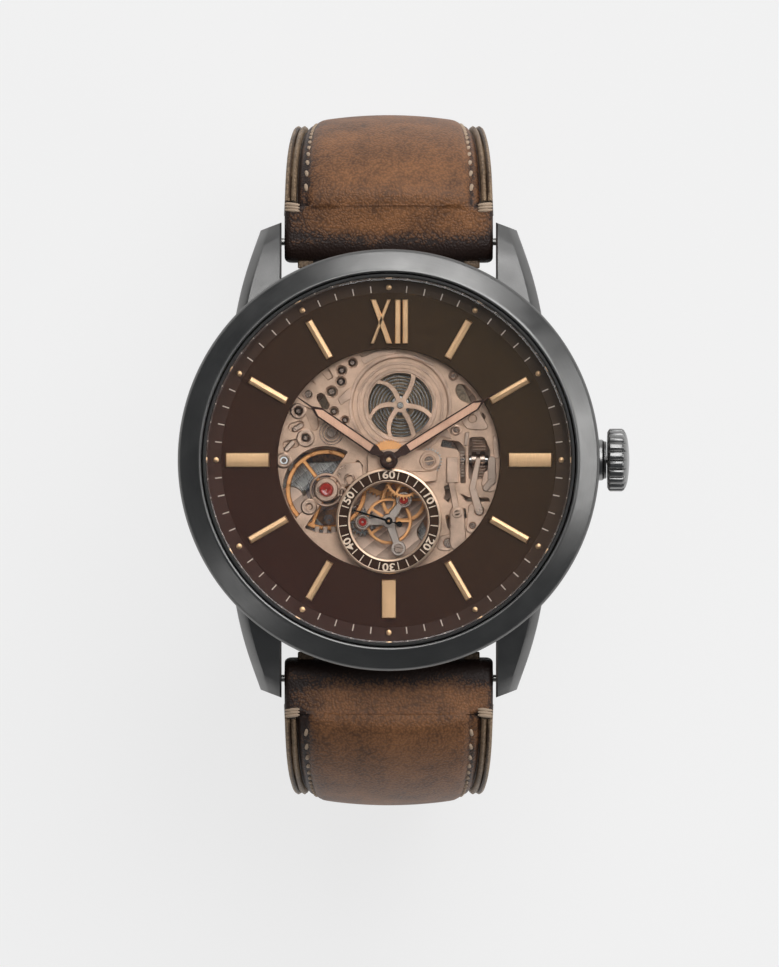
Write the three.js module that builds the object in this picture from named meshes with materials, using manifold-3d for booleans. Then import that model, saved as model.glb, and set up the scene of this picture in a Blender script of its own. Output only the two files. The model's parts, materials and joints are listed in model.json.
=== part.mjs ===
// Skeleton wristwatch, self-winding, on a closed leather strap.
// Millimetres, +Z up. The dial faces +Z, twelve o'clock points to +Y and the crown to +X.
// The origin is on the dial axis, in the plane on which the buckled strap stands.
import * as THREE from "three";
import { mergeVertices } from "three/addons/utils/BufferGeometryUtils.js";
import Module from "manifold-3d";

const wasm = await Module();
wasm.setup();

// ---------------------------------------------------------------- driving dimensions
const CASE_Z = 41; // underside of the case back above the standing plane
const GAP = 0.05; // running clearance between turned metal pieces
const FACE_GAP = 0.1; // clearance between leather pieces

const BEZEL_R = 22;
const CASE_R = 21;
const BORE_R = 19.6; // bore of the middle case
const CRYSTAL_R = 19;
const GASKET_R = 19.4;
const DIAL_R = 19.3;
const APERTURE_R = 11.55; // round window of the dial
const MOVEMENT_R = 12.95;
const LUG_GAP = 22; // strap width between the lugs
const LUG_TIP_Y = 24.8;
const BAR_Y = 22.8; // spring bar axis
const BAR_H = 3; // spring bar axis above the case back

// heights above the case back, from the back to the front
const H_BACK = [0, 1.35];
const H_BACK_GLASS = [0.5, 1.5];
const H_ROTOR_RIM = [1.9, 3.1];
const H_ROTOR_WEB = [2.65, 3];
const H_RATCHET = [3.45, 3.75];
const H_BRIDGE = [3.9, 4.9];
const H_CONTRATE = 5.05; // top of the crown wheel's face teeth
const H_CENTRE_WHEEL = [5.2, 5.4];
const H_ESCAPE_WHEEL = [5.5, 5.65];
const H_THIRD_WHEEL = [6, 6.2];
const H_FOURTH_WHEEL = [6.5, 6.7];
const H_BALANCE = [6.25, 6.65];
const H_BARREL = [5.5, 6.75];
const H_BARREL_TEETH = [6.75, 7.05];
const H_PLATE = [7.2, 8.1];
const H_MINUTE_WHEEL = [8.2, 8.4];
const H_HOUR_WHEEL = [8.5, 8.7];
const H_COVER = [8.8, 9];
const H_DIAL = [9.1, 9.5];
const H_MARKS = [9.55, 9.85];
const H_SECOND_HAND = [9.62, 9.76];
const H_HOUR_HAND = [9.95, 10.15];
const H_MINUTE_HAND = [10.4, 10.6];
const H_CRYSTAL = [11, 12.3];
const H_CASE = [1.4, 9.2];
const H_BEZEL = [9.25, 11.7];
const STEM_H = 6.1;

// wheel centres on the movement
const CENTRE = [0, 0];
const BARREL = [1.2, 5.7];
const THIRD = [1.56, -4.13];
const FOURTH = [0, -6.34];
const ESCAPE = [-2.72, -6.45];
const PALLET = [-4.18, -5.156];
const BALANCE = [-6.5, -3.1];
const MINUTE_WHEEL = [1.6, -2.05];
const SETTING_WHEEL = [4.2, -0.1];
const CROWN_WHEEL = [4.53, 0];
const SETTING_LEVER = [10.7, -2.2];
const YOKE = [9.4, -5.3];

// tooth counts
const TEETH = {
  barrel: 78, centrePinion: 12, centreWheel: 64, thirdPinion: 8, thirdWheel: 60, fourthPinion: 8,
  fourthWheel: 72, escapePinion: 8, escapeWheel: 20, cannon: 12, minuteWheel: 36, minutePinion: 12,
  hourWheel: 48, settingWheel: 24, windingPinion: 12, crownWheel: 30, ratchet: 46,
};

// hands stand at nine minutes past ten; angles run clockwise from twelve
const HOUR_ANGLE = 304.5;
const MINUTE_ANGLE = 58;
const SECOND_ANGLE = 287;

const SMOOTH = 36; // sides of a large turned piece
const MEDIUM = 20;
const SMALL = 10;
const PIN = 6; // sides of a pivot or a pin

// ---------------------------------------------------------------- materials
const metal = (color, roughness) => new THREE.MeshStandardMaterial({ color, roughness, metalness: 1 });
const matte = (color, roughness) => new THREE.MeshStandardMaterial({ color, roughness, metalness: 0 });
const gunmetal = metal(0x3c3d40, 0.38);
const steel = metal(0xa7a49f, 0.3);
const rose = metal(0xbe967d, 0.42);
const copper = metal(0xc9844b, 0.3);
const brass = metal(0xc59a5a, 0.35);
const clear = new THREE.MeshStandardMaterial({
  color: 0xf4f6f7, roughness: 0.03, metalness: 0, transparent: true, opacity: 0.2,
});
const rubber = matte(0x141414, 0.7);
const dialBrown = matte(0x38221c, 0.35);
const handBrown = matte(0x2b1a15, 0.4);
const leather = matte(0x875532, 0.65);
const lining = matte(0xb08a5c, 0.8);

// ---------------------------------------------------------------- geometry helpers
// A closed mesh with shared vertices, no needle triangles, and its faces pointing out.
function closed(geometry) {
  const bare = geometry.clone();
  bare.deleteAttribute("normal");
  bare.deleteAttribute("uv");
  const merged = mergeVertices(bare, 1e-4);
  const from = merged.index.array;
  const at = merged.attributes.position;
  const corner = [new THREE.Vector3(), new THREE.Vector3(), new THREE.Vector3()];
  const index = [];
  let volume = 0;
  for (let i = 0; i < from.length; i += 3) {
    const tri = [from[i], from[i + 1], from[i + 2]];
    if (tri[0] === tri[1] || tri[1] === tri[2] || tri[0] === tri[2]) continue;
    tri.forEach((v, k) => corner[k].fromBufferAttribute(at, v));
    volume += corner[0].dot(corner[1].cross(corner[2]));
    index.push(...tri);
  }
  if (volume < 0) {
    for (let i = 0; i < index.length; i += 3) {
      [index[i], index[i + 1]] = [index[i + 1], index[i]];
    }
  }
  merged.setIndex(index);
  return merged;
}

function toSolid(geometry) {
  const g = closed(geometry);
  const vertProperties = new Float32Array(g.attributes.position.array);
  const triVerts = new Uint32Array(g.index.array);
  return new wasm.Manifold(new wasm.Mesh({ numProp: 3, vertProperties, triVerts }));
}

function toGeometry(solid) {
  const mesh = solid.getMesh();
  const geometry = new THREE.BufferGeometry();
  geometry.setAttribute("position", new THREE.BufferAttribute(new Float32Array(mesh.vertProperties), 3));
  geometry.setIndex(Array.from(mesh.triVerts));
  return geometry;
}

const join = (...pieces) => toGeometry(pieces.map(toSolid).reduce((a, b) => a.add(b)));
const cut = (piece, ...tools) => toGeometry(
  tools.map(toSolid).reduce((a, b) => a.subtract(b), toSolid(piece)),
);
const common = (...pieces) => toGeometry(pieces.map(toSolid).reduce((a, b) => a.intersect(b)));

// A flat outline raised from height h[0] to h[1].
function plate(outline, h, curveSegments = SMALL) {
  const g = new THREE.ExtrudeGeometry(outline, { depth: h[1] - h[0], bevelEnabled: false, curveSegments });
  return g.translate(0, 0, h[0]);
}

// A profile of [radius, height] pairs turned about the Z axis.
function turned(profile, sides = SMOOTH) {
  const points = profile.map(([r, h]) => new THREE.Vector2(r, h));
  return new THREE.LatheGeometry(points, sides).rotateX(Math.PI / 2);
}

// A ring with a rectangular section.
function ring(inner, outer, h, sides = SMOOTH) {
  return turned([[inner, h[0]], [outer, h[0]], [outer, h[1]], [inner, h[1]], [inner, h[0]]], sides);
}

// An upright round bar.
function post(r, h, at = CENTRE, sides = SMALL) {
  const g = new THREE.CylinderGeometry(r, r, h[1] - h[0], sides).rotateX(Math.PI / 2);
  return g.translate(at[0], at[1], (h[0] + h[1]) / 2);
}

// A round bar along X.
function barX(r, x, at, sides = SMALL) {
  const g = new THREE.CylinderGeometry(r, r, x[1] - x[0], sides).rotateZ(Math.PI / 2);
  return g.translate((x[0] + x[1]) / 2, at[0], at[1]);
}

function block(x, y, z) {
  const g = new THREE.BoxGeometry(x[1] - x[0], y[1] - y[0], z[1] - z[0]);
  return g.translate((x[0] + x[1]) / 2, (y[0] + y[1]) / 2, (z[0] + z[1]) / 2);
}

function polygon(points) {
  return new THREE.Shape(points.map(([x, y]) => new THREE.Vector2(x, y)));
}

function circle(r, at = CENTRE) {
  const outline = new THREE.Shape();
  outline.absarc(at[0], at[1], r, 0, 2 * Math.PI, false);
  return outline;
}

// A slot with round ends from a to b.
function slot(a, b, r) {
  const turn = Math.atan2(b[1] - a[1], b[0] - a[0]);
  const outline = new THREE.Shape();
  outline.absarc(b[0], b[1], r, turn - Math.PI / 2, turn + Math.PI / 2, false);
  outline.absarc(a[0], a[1], r, turn + Math.PI / 2, turn + 1.5 * Math.PI, false);
  outline.closePath();
  return outline;
}

// An outline in the Y-Z plane, as [y, z] pairs, made into a bar along X.
function sideBar(points, x) {
  const g = new THREE.ExtrudeGeometry(polygon(points), { depth: x[1] - x[0], bevelEnabled: false });
  return g.applyMatrix4(new THREE.Matrix4().makeBasis(
    new THREE.Vector3(0, 1, 0), new THREE.Vector3(0, 0, 1), new THREE.Vector3(1, 0, 0),
  )).translate(x[0], 0, 0);
}

const direction = (from, to) => Math.atan2(to[1] - from[1], to[0] - from[0]);
const distance = (a, b) => Math.hypot(b[0] - a[0], b[1] - a[1]);
const clockwise = (degrees) => THREE.MathUtils.degToRad(90 - degrees);

// ---------------------------------------------------------------- toothed wheels
const ADDENDUM = 1;
const DEDENDUM = 1.25;

// One tooth stands at the angle "toothAt".
function gearOutline(teeth, pitchR, toothAt) {
  const unit = (2 * pitchR) / teeth;
  const pitch = (2 * Math.PI) / teeth;
  const tip = pitchR + ADDENDUM * unit;
  const root = pitchR - DEDENDUM * unit;
  const points = [];
  for (let i = 0; i < teeth; i++) {
    const a = toothAt + i * pitch;
    points.push([root * Math.cos(a - pitch / 2), root * Math.sin(a - pitch / 2)]);
    points.push([tip * Math.cos(a), tip * Math.sin(a)]);
  }
  return polygon(points);
}

// Windows between spokes, cut as holes of an outline.
function addWindows(outline, spokes, hubR, rimR, spokeWidth, firstSpoke = 0) {
  const half = spokeWidth / 2;
  for (let i = 0; i < spokes; i++) {
    const a = firstSpoke + (i * 2 * Math.PI) / spokes;
    const b = a + (2 * Math.PI) / spokes;
    const hole = new THREE.Path();
    hole.absarc(0, 0, rimR, a + Math.asin(half / rimR), b - Math.asin(half / rimR), false);
    hole.absarc(0, 0, hubR, b - Math.asin(half / hubR), a + Math.asin(half / hubR), true);
    hole.closePath();
    outline.holes.push(hole);
  }
  return outline;
}

// Pitch radii of two wheels in mesh at a centre distance, as [first, second].
function pitchRadii(first, second, spread) {
  const perTooth = spread / (TEETH[first] + TEETH[second]);
  return [perTooth * TEETH[first], perTooth * TEETH[second]];
}

// ---------------------------------------------------------------- assembly
const watch = new THREE.Group();
watch.name = "skeleton_wristwatch";

function add(name, geometry, material, at = [0, 0, 0]) {
  const mesh = new THREE.Mesh(closed(geometry), material);
  mesh.name = name;
  mesh.position.set(...at);
  watch.add(mesh);
  return mesh;
}

// Everything of the case and movement is placed by its height above the case back.
const inCase = ([x, y]) => [x, y, CASE_Z];

// ================================================================ case
const SPRING_BAR = { r: 0.75, tipR: 0.4, half: 10.9, tip: 11.9 };
const TUBE = { fitR: 1.5, outR: 2.14, boreR: 0.75, in: 19.7, seat: 21.1, out: 22.7 };
const LUG_IN = LUG_GAP / 2 + 0.2;
const LUG_OUTLINE = [[LUG_IN, 12], [LUG_IN, LUG_TIP_Y], [13.6, 23.9], [16.2, 13.6], [15.5, 12]];
const LUG_TOP = [[12, 9.2], [15.5, 9.1], [18.5, 8.2], [21.5, 6.8], [LUG_TIP_Y, 4.6]];
const LUG_BOTTOM = [[LUG_TIP_Y, 0.2], [22, 0.4], [18.6, 1.4], [12, 1.4]];

function lug(sx, sy) {
  const plan = plate(polygon(LUG_OUTLINE.map(([x, y]) => [sx * x, sy * y])), [-1, 11]);
  const side = sideBar([...LUG_TOP, ...LUG_BOTTOM].map(([y, h]) => [sy * y, h]), [-18, 18]);
  return common(plan, side);
}

function middleCase() {
  const body = turned([
    [BORE_R, H_CASE[0]], [20.3, H_CASE[0]], [CASE_R, 2.2], [CASE_R, 8.6], [20.7, H_CASE[1]],
    [BORE_R, H_CASE[1]], [BORE_R, H_CASE[0]],
  ]);
  const lugs = [[1, 1], [1, -1], [-1, 1], [-1, -1]].map(([sx, sy]) => lug(sx, sy));
  const bore = post(BORE_R, [-1, 12], CENTRE, SMOOTH);
  const barHoles = [-1, 1].map((s) => barX(SPRING_BAR.tipR + 0.1, [-12.3, 12.3], [s * BAR_Y, BAR_H], PIN));
  const tubeHole = barX(TUBE.fitR + GAP, [18, 23], [0, STEM_H]);
  return cut(join(body, ...lugs), bore, ...barHoles, tubeHole);
}

function springBar(s) {
  const body = barX(SPRING_BAR.r, [-SPRING_BAR.half, SPRING_BAR.half], [s * BAR_Y, BAR_H]);
  const tips = barX(SPRING_BAR.tipR, [-SPRING_BAR.tip, SPRING_BAR.tip], [s * BAR_Y, BAR_H], PIN);
  return join(body, tips);
}

add("middle_case", middleCase(), gunmetal, inCase(CENTRE));
add("spring_bar_12", springBar(1), steel, inCase(CENTRE));
add("spring_bar_6", springBar(-1), steel, inCase(CENTRE));

// The bezel's face slopes up from its sharp outer edge to the crystal.
add("bezel", turned([
  [GASKET_R + GAP, H_BEZEL[0]], [21.2, H_BEZEL[0]], [BEZEL_R, 9.9], [BEZEL_R, 10.25], [19.75, H_BEZEL[1]],
  [GASKET_R + GAP, H_BEZEL[1]], [GASKET_R + GAP, H_BEZEL[0]],
]), gunmetal, inCase(CENTRE));

add("crystal", turned([
  [0, H_CRYSTAL[0]], [CRYSTAL_R, H_CRYSTAL[0]], [CRYSTAL_R, 11.9], [18.6, H_CRYSTAL[1]], [12, 12.5],
  [0, 12.6],
]), clear, inCase(CENTRE));
add("crystal_gasket", ring(CRYSTAL_R + GAP, GASKET_R, [11, 11.65]), rubber, inCase(CENTRE));

add("case_back_ring", turned([
  [13.6, H_BACK[0]], [20.3, H_BACK[0]], [20.5, H_BACK[1]], [19.3, H_BACK[1]], [19.3, 2.6],
  [17, 2.6], [14.65, H_BACK[1]], [14.65, 0.45], [13.6, 0.45], [13.6, H_BACK[0]],
]), gunmetal, inCase(CENTRE));
add("case_back_glass", post(14.6, H_BACK_GLASS, CENTRE, MEDIUM), clear, inCase(CENTRE));
add("case_back_gasket", ring(19.35, 19.55, [1.5, 2], SMOOTH), rubber, inCase(CENTRE));

// ================================================================ crown and winding stem
function crownTube() {
  const outside = join(
    barX(TUBE.fitR, [TUBE.in, TUBE.out], [0, STEM_H]),
    barX(TUBE.outR, [TUBE.seat, TUBE.out], [0, STEM_H], 24),
  );
  return cut(outside, barX(TUBE.boreR, [TUBE.in - 1, TUBE.out + 1], [0, STEM_H]));
}
add("crown_tube", crownTube(), gunmetal, inCase(CENTRE));

const CROWN = { r: 3.3, flute: 0.28, flutes: 20, in: 22.78, out: 24.6, end: 25.1, boreR: 0.42 };

function crown() {
  const points = [];
  const steps = CROWN.flutes * 2;
  for (let i = 0; i < steps; i++) {
    const a = (i * 2 * Math.PI) / steps;
    const r = CROWN.r - (i % 2) * CROWN.flute;
    points.push([r * Math.cos(a), r * Math.sin(a)]);
  }
  const fluted = plate(polygon(points), [CROWN.in, CROWN.end]);
  const dome = turned([
    [0, CROWN.in], [CROWN.r, CROWN.in], [CROWN.r, CROWN.out - 0.2],
    [CROWN.r - 0.3, CROWN.out], [2.2, 24.95], [0, CROWN.end],
  ], MEDIUM);
  const body = common(fluted, dome).rotateY(Math.PI / 2).translate(0, 0, STEM_H);
  return cut(body, barX(CROWN.boreR, [CROWN.in - 1, 24], [0, STEM_H], PIN));
}
add("crown", crown(), gunmetal, inCase(CENTRE));

const STEM = { r: 0.5, threadR: 0.4, grooveR: 0.3, in: 5.6, groove: [10.35, 11.05], gasket: [20.6, 21.4] };

function windingStem() {
  const axis = [0, STEM_H];
  return join(
    barX(STEM.grooveR, [STEM.in, 23.9], axis, PIN),
    barX(STEM.r, [7.7, STEM.groove[0]], axis, PIN),
    barX(STEM.r, [STEM.groove[1], STEM.gasket[0]], axis, PIN),
    barX(STEM.threadR, [STEM.gasket[1], 23.9], axis, PIN),
  );
}
add("winding_stem", windingStem(), steel, inCase(CENTRE));

function crownGasket() {
  const washer = barX(TUBE.boreR - GAP, [STEM.gasket[0] + 0.1, STEM.gasket[1] - 0.1], [0, STEM_H]);
  return cut(washer, barX(STEM.grooveR + GAP, [20, 22], [0, STEM_H], PIN));
}
add("crown_gasket", crownGasket(), rubber, inCase(CENTRE));

// ================================================================ strap, closed and buckled
// The inner face of each half is one curve in the Y-Z plane, from the lugs down to the buckle.
// It is drawn for the twelve side; the six side is the same curve mirrored, with a longer end.
const INNER_TOP = [25.4, 42.4];
const INNER_SIDE = [31.2, 27];
const INNER_BOTTOM = [15, 5];
const TAIL_TOP = 2.75;
const TAIL_TIP_Y = 17;
const BUCKLE_Y = 6; // buckle bar axis, on the six side of the middle
const BUCKLE_Z = 4.7;
const FOLD_R = 2.2; // leather folded round a spring bar
const BUCKLE_FOLD_R = 1.7;
const COVER_T = 1;
const BASE_T = [3.2, 0.9]; // padded part, thin part
const STRAP_STEPS = 24;
const PAD_INSET = 1.35; // the padded cover is narrower than the base
const PAD_START_Y = 26.5;
const SHOULDER_IN_Y = 20; // the cover is as wide as the base from here to PAD_START_Y
const LUG_FLAP = [[22.8, 46.2], [22.8, 44.9], [24, 45.2], [26.85, 45.4], [27.2, 46.3]]; // [y, z]
const LUG_END_X = [-10.9, 10.9];
const STRAP_X = [-12, 12]; // wider than the strap
const ABOVE_WRIST = [40, 50];
// half width of the strap at each height: wide at the lugs, narrow at the buckle
const TAPER = [[10.95, 60], [10.95, 42.5], [9.85, 28], [9, 8], [9, -2]];

function innerFace(...ending) {
  const v = ([y, z]) => new THREE.Vector2(y, z);
  const path = new THREE.CurvePath();
  path.add(new THREE.CubicBezierCurve(v(INNER_TOP), v([29.2, 40.6]), v([31.2, 33.6]), v(INNER_SIDE)));
  path.add(new THREE.CubicBezierCurve(v(INNER_SIDE), v([31.2, 13]), v([26, 5]), v(INNER_BOTTOM)));
  ending.forEach((points) => path.add(points.length === 2
    ? new THREE.LineCurve(...points.map(v)) : new THREE.CubicBezierCurve(...points.map(v))));
  return path;
}

// The path moved outward, away from the wrist, by an amount that changes on the way.
function offsetLine(path, amount) {
  const points = [];
  for (let i = 0; i <= STRAP_STEPS; i++) {
    const u = i / STRAP_STEPS;
    const p = path.getPointAt(u);
    const t = path.getTangentAt(u);
    points.push([p.x - t.y * amount(u), p.y + t.x * amount(u)]);
  }
  return points;
}

function layer(path, side, inner, outer) {
  const points = [...offsetLine(path, inner), ...offsetLine(path, outer).reverse()];
  return sideBar(points.map(([y, z]) => [side * y, z]), [-LUG_GAP, LUG_GAP]);
}

// An outline in the X-Z plane made into a bar along Y.
function frontBar(outline, y) {
  const settings = { depth: y[1] - y[0], bevelEnabled: false, curveSegments: 4 };
  return new THREE.ExtrudeGeometry(outline, settings).rotateX(Math.PI / 2).translate(0, y[1], 0);
}

function taper(inset) {
  const right = TAPER.map(([x, z]) => [x - inset, z]);
  const left = TAPER.map(([x, z]) => [inset - x, z]).reverse();
  return frontBar(polygon([...right, ...left]), [-40, 40]);
}

const between = (u, from, to, a, b) => THREE.MathUtils.lerp(a, b, THREE.MathUtils.smoothstep(u, from, to));

// thin: where along the path the padding starts and ends to thin out
function strapBase(path, side, thin) {
  const body = layer(path, side, () => 0, (u) => between(u, ...thin, ...BASE_T));
  return common(body, taper(0));
}

function strapCover(path, side, thin) {
  const under = (u) => between(u, ...thin, ...BASE_T) + FACE_GAP;
  const body = layer(path, side, under, (u) => under(u) + COVER_T);
  const pad = common(body, taper(PAD_INSET));
  const lugEnd = [SHOULDER_IN_Y, PAD_START_Y].map((y) => side * y).sort((a, b) => a - b);
  const shoulder = common(body, taper(0), block(STRAP_X, lugEnd, ABOVE_WRIST));
  const bridge = sideBar(LUG_FLAP.map(([y, z]) => [side * y, z]), LUG_END_X);
  const fold = barX(FOLD_R, LUG_END_X, [side * BAR_Y, CASE_Z + BAR_H]);
  const eye = barX(SPRING_BAR.r + GAP, STRAP_X, [side * BAR_Y, CASE_Z + BAR_H]);
  return cut(join(pad, shoulder, bridge, fold), eye, post(CASE_R + 0.2, ABOVE_WRIST, CENTRE, SMOOTH));
}

const TWELVE_END = [INNER_BOTTOM, [-3.6, 5]];
const TWELVE_THIN = [0.3, 0.65];
const twelvePath = innerFace(TWELVE_END);
add("strap_12_lining", strapBase(twelvePath, 1, TWELVE_THIN), lining);

// The twelve half ends in a fold round the buckle bar, slotted for the tongue.
function twelveCover() {
  const bar = [-BUCKLE_Y, BUCKLE_Z];
  const width = [-8.9, 8.9];
  const fold = barX(BUCKLE_FOLD_R, width, bar);
  const neck = block(width, [-6, -3], [3, 4]);
  const eye = barX(BUCKLE_BAR.r + GAP, STRAP_X, bar);
  const tongueSlot = block([-1.1, 1.1], [-9, -3.7], [2, 7]);
  return cut(join(strapCover(twelvePath, 1, TWELVE_THIN), fold, neck), eye, tongueSlot);
}
const BUCKLE_BAR = { r: 0.6, tipR: 0.35, half: 9.2, tip: 10.9 };
add("strap_12_cover", twelveCover(), leather);

const SIX_DIP = [INNER_BOTTOM, [12.7, 5], [10.8, TAIL_TOP], [8.5, TAIL_TOP]];
const SIX_TAIL = [[8.5, TAIL_TOP], [-TAIL_TIP_Y, TAIL_TOP]];
const SIX_THIN = [0.25, 0.55];
const HOLE_R = 0.8;
const FREE_HOLES_Y = [1, 7, 13];
const sixPath = innerFace(SIX_DIP, SIX_TAIL);

function sixHalf(piece) {
  const tip = new THREE.Shape();
  tip.moveTo(-14, -40);
  tip.lineTo(14, -40);
  tip.lineTo(14, 0);
  tip.lineTo(9, 9);
  tip.quadraticCurveTo(8.6, TAIL_TIP_Y - 1, 0, TAIL_TIP_Y);
  tip.quadraticCurveTo(-8.6, TAIL_TIP_Y - 1, -9, 9);
  tip.lineTo(-14, 0);
  const holes = FREE_HOLES_Y.map((y) => post(HOLE_R, [0, 4], [0, y], PIN));
  const usedHole = plate(slot([0, -12], [0, -7.6], 1), [0, 4.4], 4);
  return cut(common(piece, plate(tip, [-1, 60], 6)), ...holes, usedHole);
}
add("strap_6_lining", sixHalf(strapBase(sixPath, -1, SIX_THIN)), lining);
add("strap_6_cover", sixHalf(strapCover(sixPath, -1, SIX_THIN)), leather);

function roundedFrame(halfIn, zIn, wall, y) {
  const outline = (half, z, r) => {
    const s = new THREE.Shape();
    s.absarc(half - r, z[0] + r, r, -Math.PI / 2, 0, false);
    s.absarc(half - r, z[1] - r, r, 0, Math.PI / 2, false);
    s.absarc(r - half, z[1] - r, r, Math.PI / 2, Math.PI, false);
    s.absarc(r - half, z[0] + r, r, Math.PI, 1.5 * Math.PI, false);
    s.closePath();
    return s;
  };
  const shape = outline(halfIn + wall, [zIn[0] - wall, zIn[1] + wall], 1);
  shape.holes.push(outline(halfIn, zIn, 0.4));
  return frontBar(shape, y);
}
const KEEPER = { halfIn: 9.3, z: [0.6, 5.15], wall: 0.6 };
const FIXED_KEEPER_Y = [-2.5, 2.5];
const FREE_KEEPER_Y = [8, 12.5];
add("fixed_keeper", roundedFrame(KEEPER.halfIn, KEEPER.z, KEEPER.wall, FIXED_KEEPER_Y), leather);
add("free_keeper", roundedFrame(KEEPER.halfIn, KEEPER.z, KEEPER.wall, FREE_KEEPER_Y), leather);

// ================================================================ buckle
// Side outlines are [distance from the middle towards six, height].
const FRAME_SIDE = [
  [4.9, 4.7], [5.4, 5.7], [6.6, 5.8], [9, 4.6], [12.5, 2.9], [14.2, 2.4], [15.4, 2.3], [15.9, 1.6],
  [15.9, 0.6], [15.3, 0], [13.4, 0], [10.5, 1.2], [7.6, 3.2], [5.4, 3.6],
];
const TONGUE_SIDE = [
  [6.9, 5.4], [8.2, 4.4], [12.9, 1], [13.3, 0.8], [16.3, 0.78], [16.5, 0.45], [16.2, 0.15], [12.7, 0.15],
  [7.6, 3.2], [6.3, 3.6],
];
const FRAME_OUT = 11.3;
const FRAME_IN = 9.5;
const TONGUE_HALF = 0.7;
const toSix = (points) => points.map(([y, z]) => [-y, z]);

function buckleFrame() {
  const plan = new THREE.Shape();
  plan.moveTo(FRAME_OUT, -4);
  plan.lineTo(FRAME_OUT, -13.2);
  plan.quadraticCurveTo(FRAME_OUT, -15.9, 8.6, -15.9);
  plan.lineTo(-8.6, -15.9);
  plan.quadraticCurveTo(-FRAME_OUT, -15.9, -FRAME_OUT, -13.2);
  plan.lineTo(-FRAME_OUT, -4);
  const sides = sideBar(toSix(FRAME_SIDE), [-FRAME_OUT, FRAME_OUT]);
  const opening = block([-FRAME_IN, FRAME_IN], [-14.1, 0], [-1, 8]);
  const notch = block([-1.2, 1.2], [-17, -13], [-1, 0.95]);
  const barHole = barX(BUCKLE_BAR.tipR + GAP, [-11, 11], [-BUCKLE_Y, BUCKLE_Z], PIN);
  return cut(common(plate(plan, [-1, 8], 5), sides), opening, notch, barHole);
}

function buckleTongue() {
  const width = [-TONGUE_HALF, TONGUE_HALF];
  const ringAt = [-BUCKLE_Y, BUCKLE_Z];
  const body = join(sideBar(toSix(TONGUE_SIDE), width), barX(1.25, width, ringAt));
  return cut(body, barX(BUCKLE_BAR.r + 0.08, [-1, 1], ringAt));
}

function buckleBar() {
  const at = [-BUCKLE_Y, BUCKLE_Z];
  return join(
    barX(BUCKLE_BAR.r, [-BUCKLE_BAR.half, BUCKLE_BAR.half], at),
    barX(BUCKLE_BAR.tipR, [-BUCKLE_BAR.tip, BUCKLE_BAR.tip], at, PIN),
  );
}
add("buckle_frame", buckleFrame(), gunmetal);
add("buckle_tongue", buckleTongue(), gunmetal);
add("buckle_bar", buckleBar(), steel);

// ================================================================ movement plates and bridges
const PLATE_RIM = [12.2, MOVEMENT_R];
const PIVOT_CLEAR = 0.06;
const tall = [-2, 20];
const hole = (at, r, sides = SMALL) => post(r, tall, at, sides);

// Gears sit between the two plates, so every arbor runs from one plate to the other.
const ARBOR = [4.95, 7.15];
const ARBOR_R = 0.16;

// Openings of the dial-side plate.
const BARREL_WINDOW_R = 4.35;
const BARREL_ARMS = [110, 55, -7, -62, -130, 178]; // degrees
const BALANCE_WINDOW_R = 4.5;
const BALANCE_ARM_ENDS = [[-4.3, -2.6], [-8.6, -5.1]];
const SECONDS_WINDOW_R = 4.15;
const PILLAR_HOLES = [
  [-3.8, 10.1, 0.4], [-4.9, 9.3, 0.42], [-5, 8.1, 0.42], [-6, 7.1, 0.5], [-8.4, 6.8, 0.4],
  [-9.5, 5.2, 0.42], [-8.75, 2.3, 0.5], [-10.9, 0.1, 0.45],
];
const BEAN_WINDOWS = [
  [[-7.1, 6.2], [-6.6, 5.4], 0.55], [[-9.9, 3.5], [-8.3, 4.2], 0.4], [[-9.8, 1.5], [-8.3, 0.7], 0.42],
  [[7.6, 7.3], [8.5, 6.2], 0.75], [[6, -3], [6.4, -4], 0.4], [[7.8, -3.7], [10, -4.2], 0.16],
  [[6.1, -5.6], [6.2, -6.7], 0.2], [[3.9, 2.1], [4.7, 1.8], 0.5],
];
const RIM_BITES = [[-2.6, 12.1, 1.5], [-6.6, 9.9, 1.15], [-8.4, 8.7, 0.9]];

// A straight bar between two points, with square ends.
function strut(a, b, half) {
  const turn = direction(a, b);
  const across = [half * Math.sin(turn), -half * Math.cos(turn)];
  return polygon([
    [a[0] + across[0], a[1] + across[1]], [b[0] + across[0], b[1] + across[1]],
    [b[0] - across[0], b[1] - across[1]], [a[0] - across[0], a[1] - across[1]],
  ]);
}

function barrelWindow() {
  const arms = BARREL_ARMS.map((degrees) => {
    const a = THREE.MathUtils.degToRad(degrees);
    const end = [BARREL[0] + 4.6 * Math.cos(a), BARREL[1] + 4.6 * Math.sin(a)];
    return plate(strut(BARREL, end, 0.27), tall);
  });
  return cut(hole(BARREL, BARREL_WINDOW_R, MEDIUM), hole(BARREL, 0.85, SMALL), ...arms);
}

function balanceWindow() {
  const arms = BALANCE_ARM_ENDS.map(([x, y]) => {
    const end = [BALANCE[0] + 1.9 * (x - BALANCE[0]), BALANCE[1] + 1.9 * (y - BALANCE[1])];
    return plate(strut(BALANCE, end, 0.6), tall);
  });
  const round = common(hole(BALANCE, BALANCE_WINDOW_R, MEDIUM), hole(CENTRE, 11.4, SMOOTH));
  return cut(round, hole(BALANCE, 1.2), ...arms);
}

const STEM_SLOT = [6, 12.15];
const STEM_SLOT_HALF = 1.1;

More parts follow.
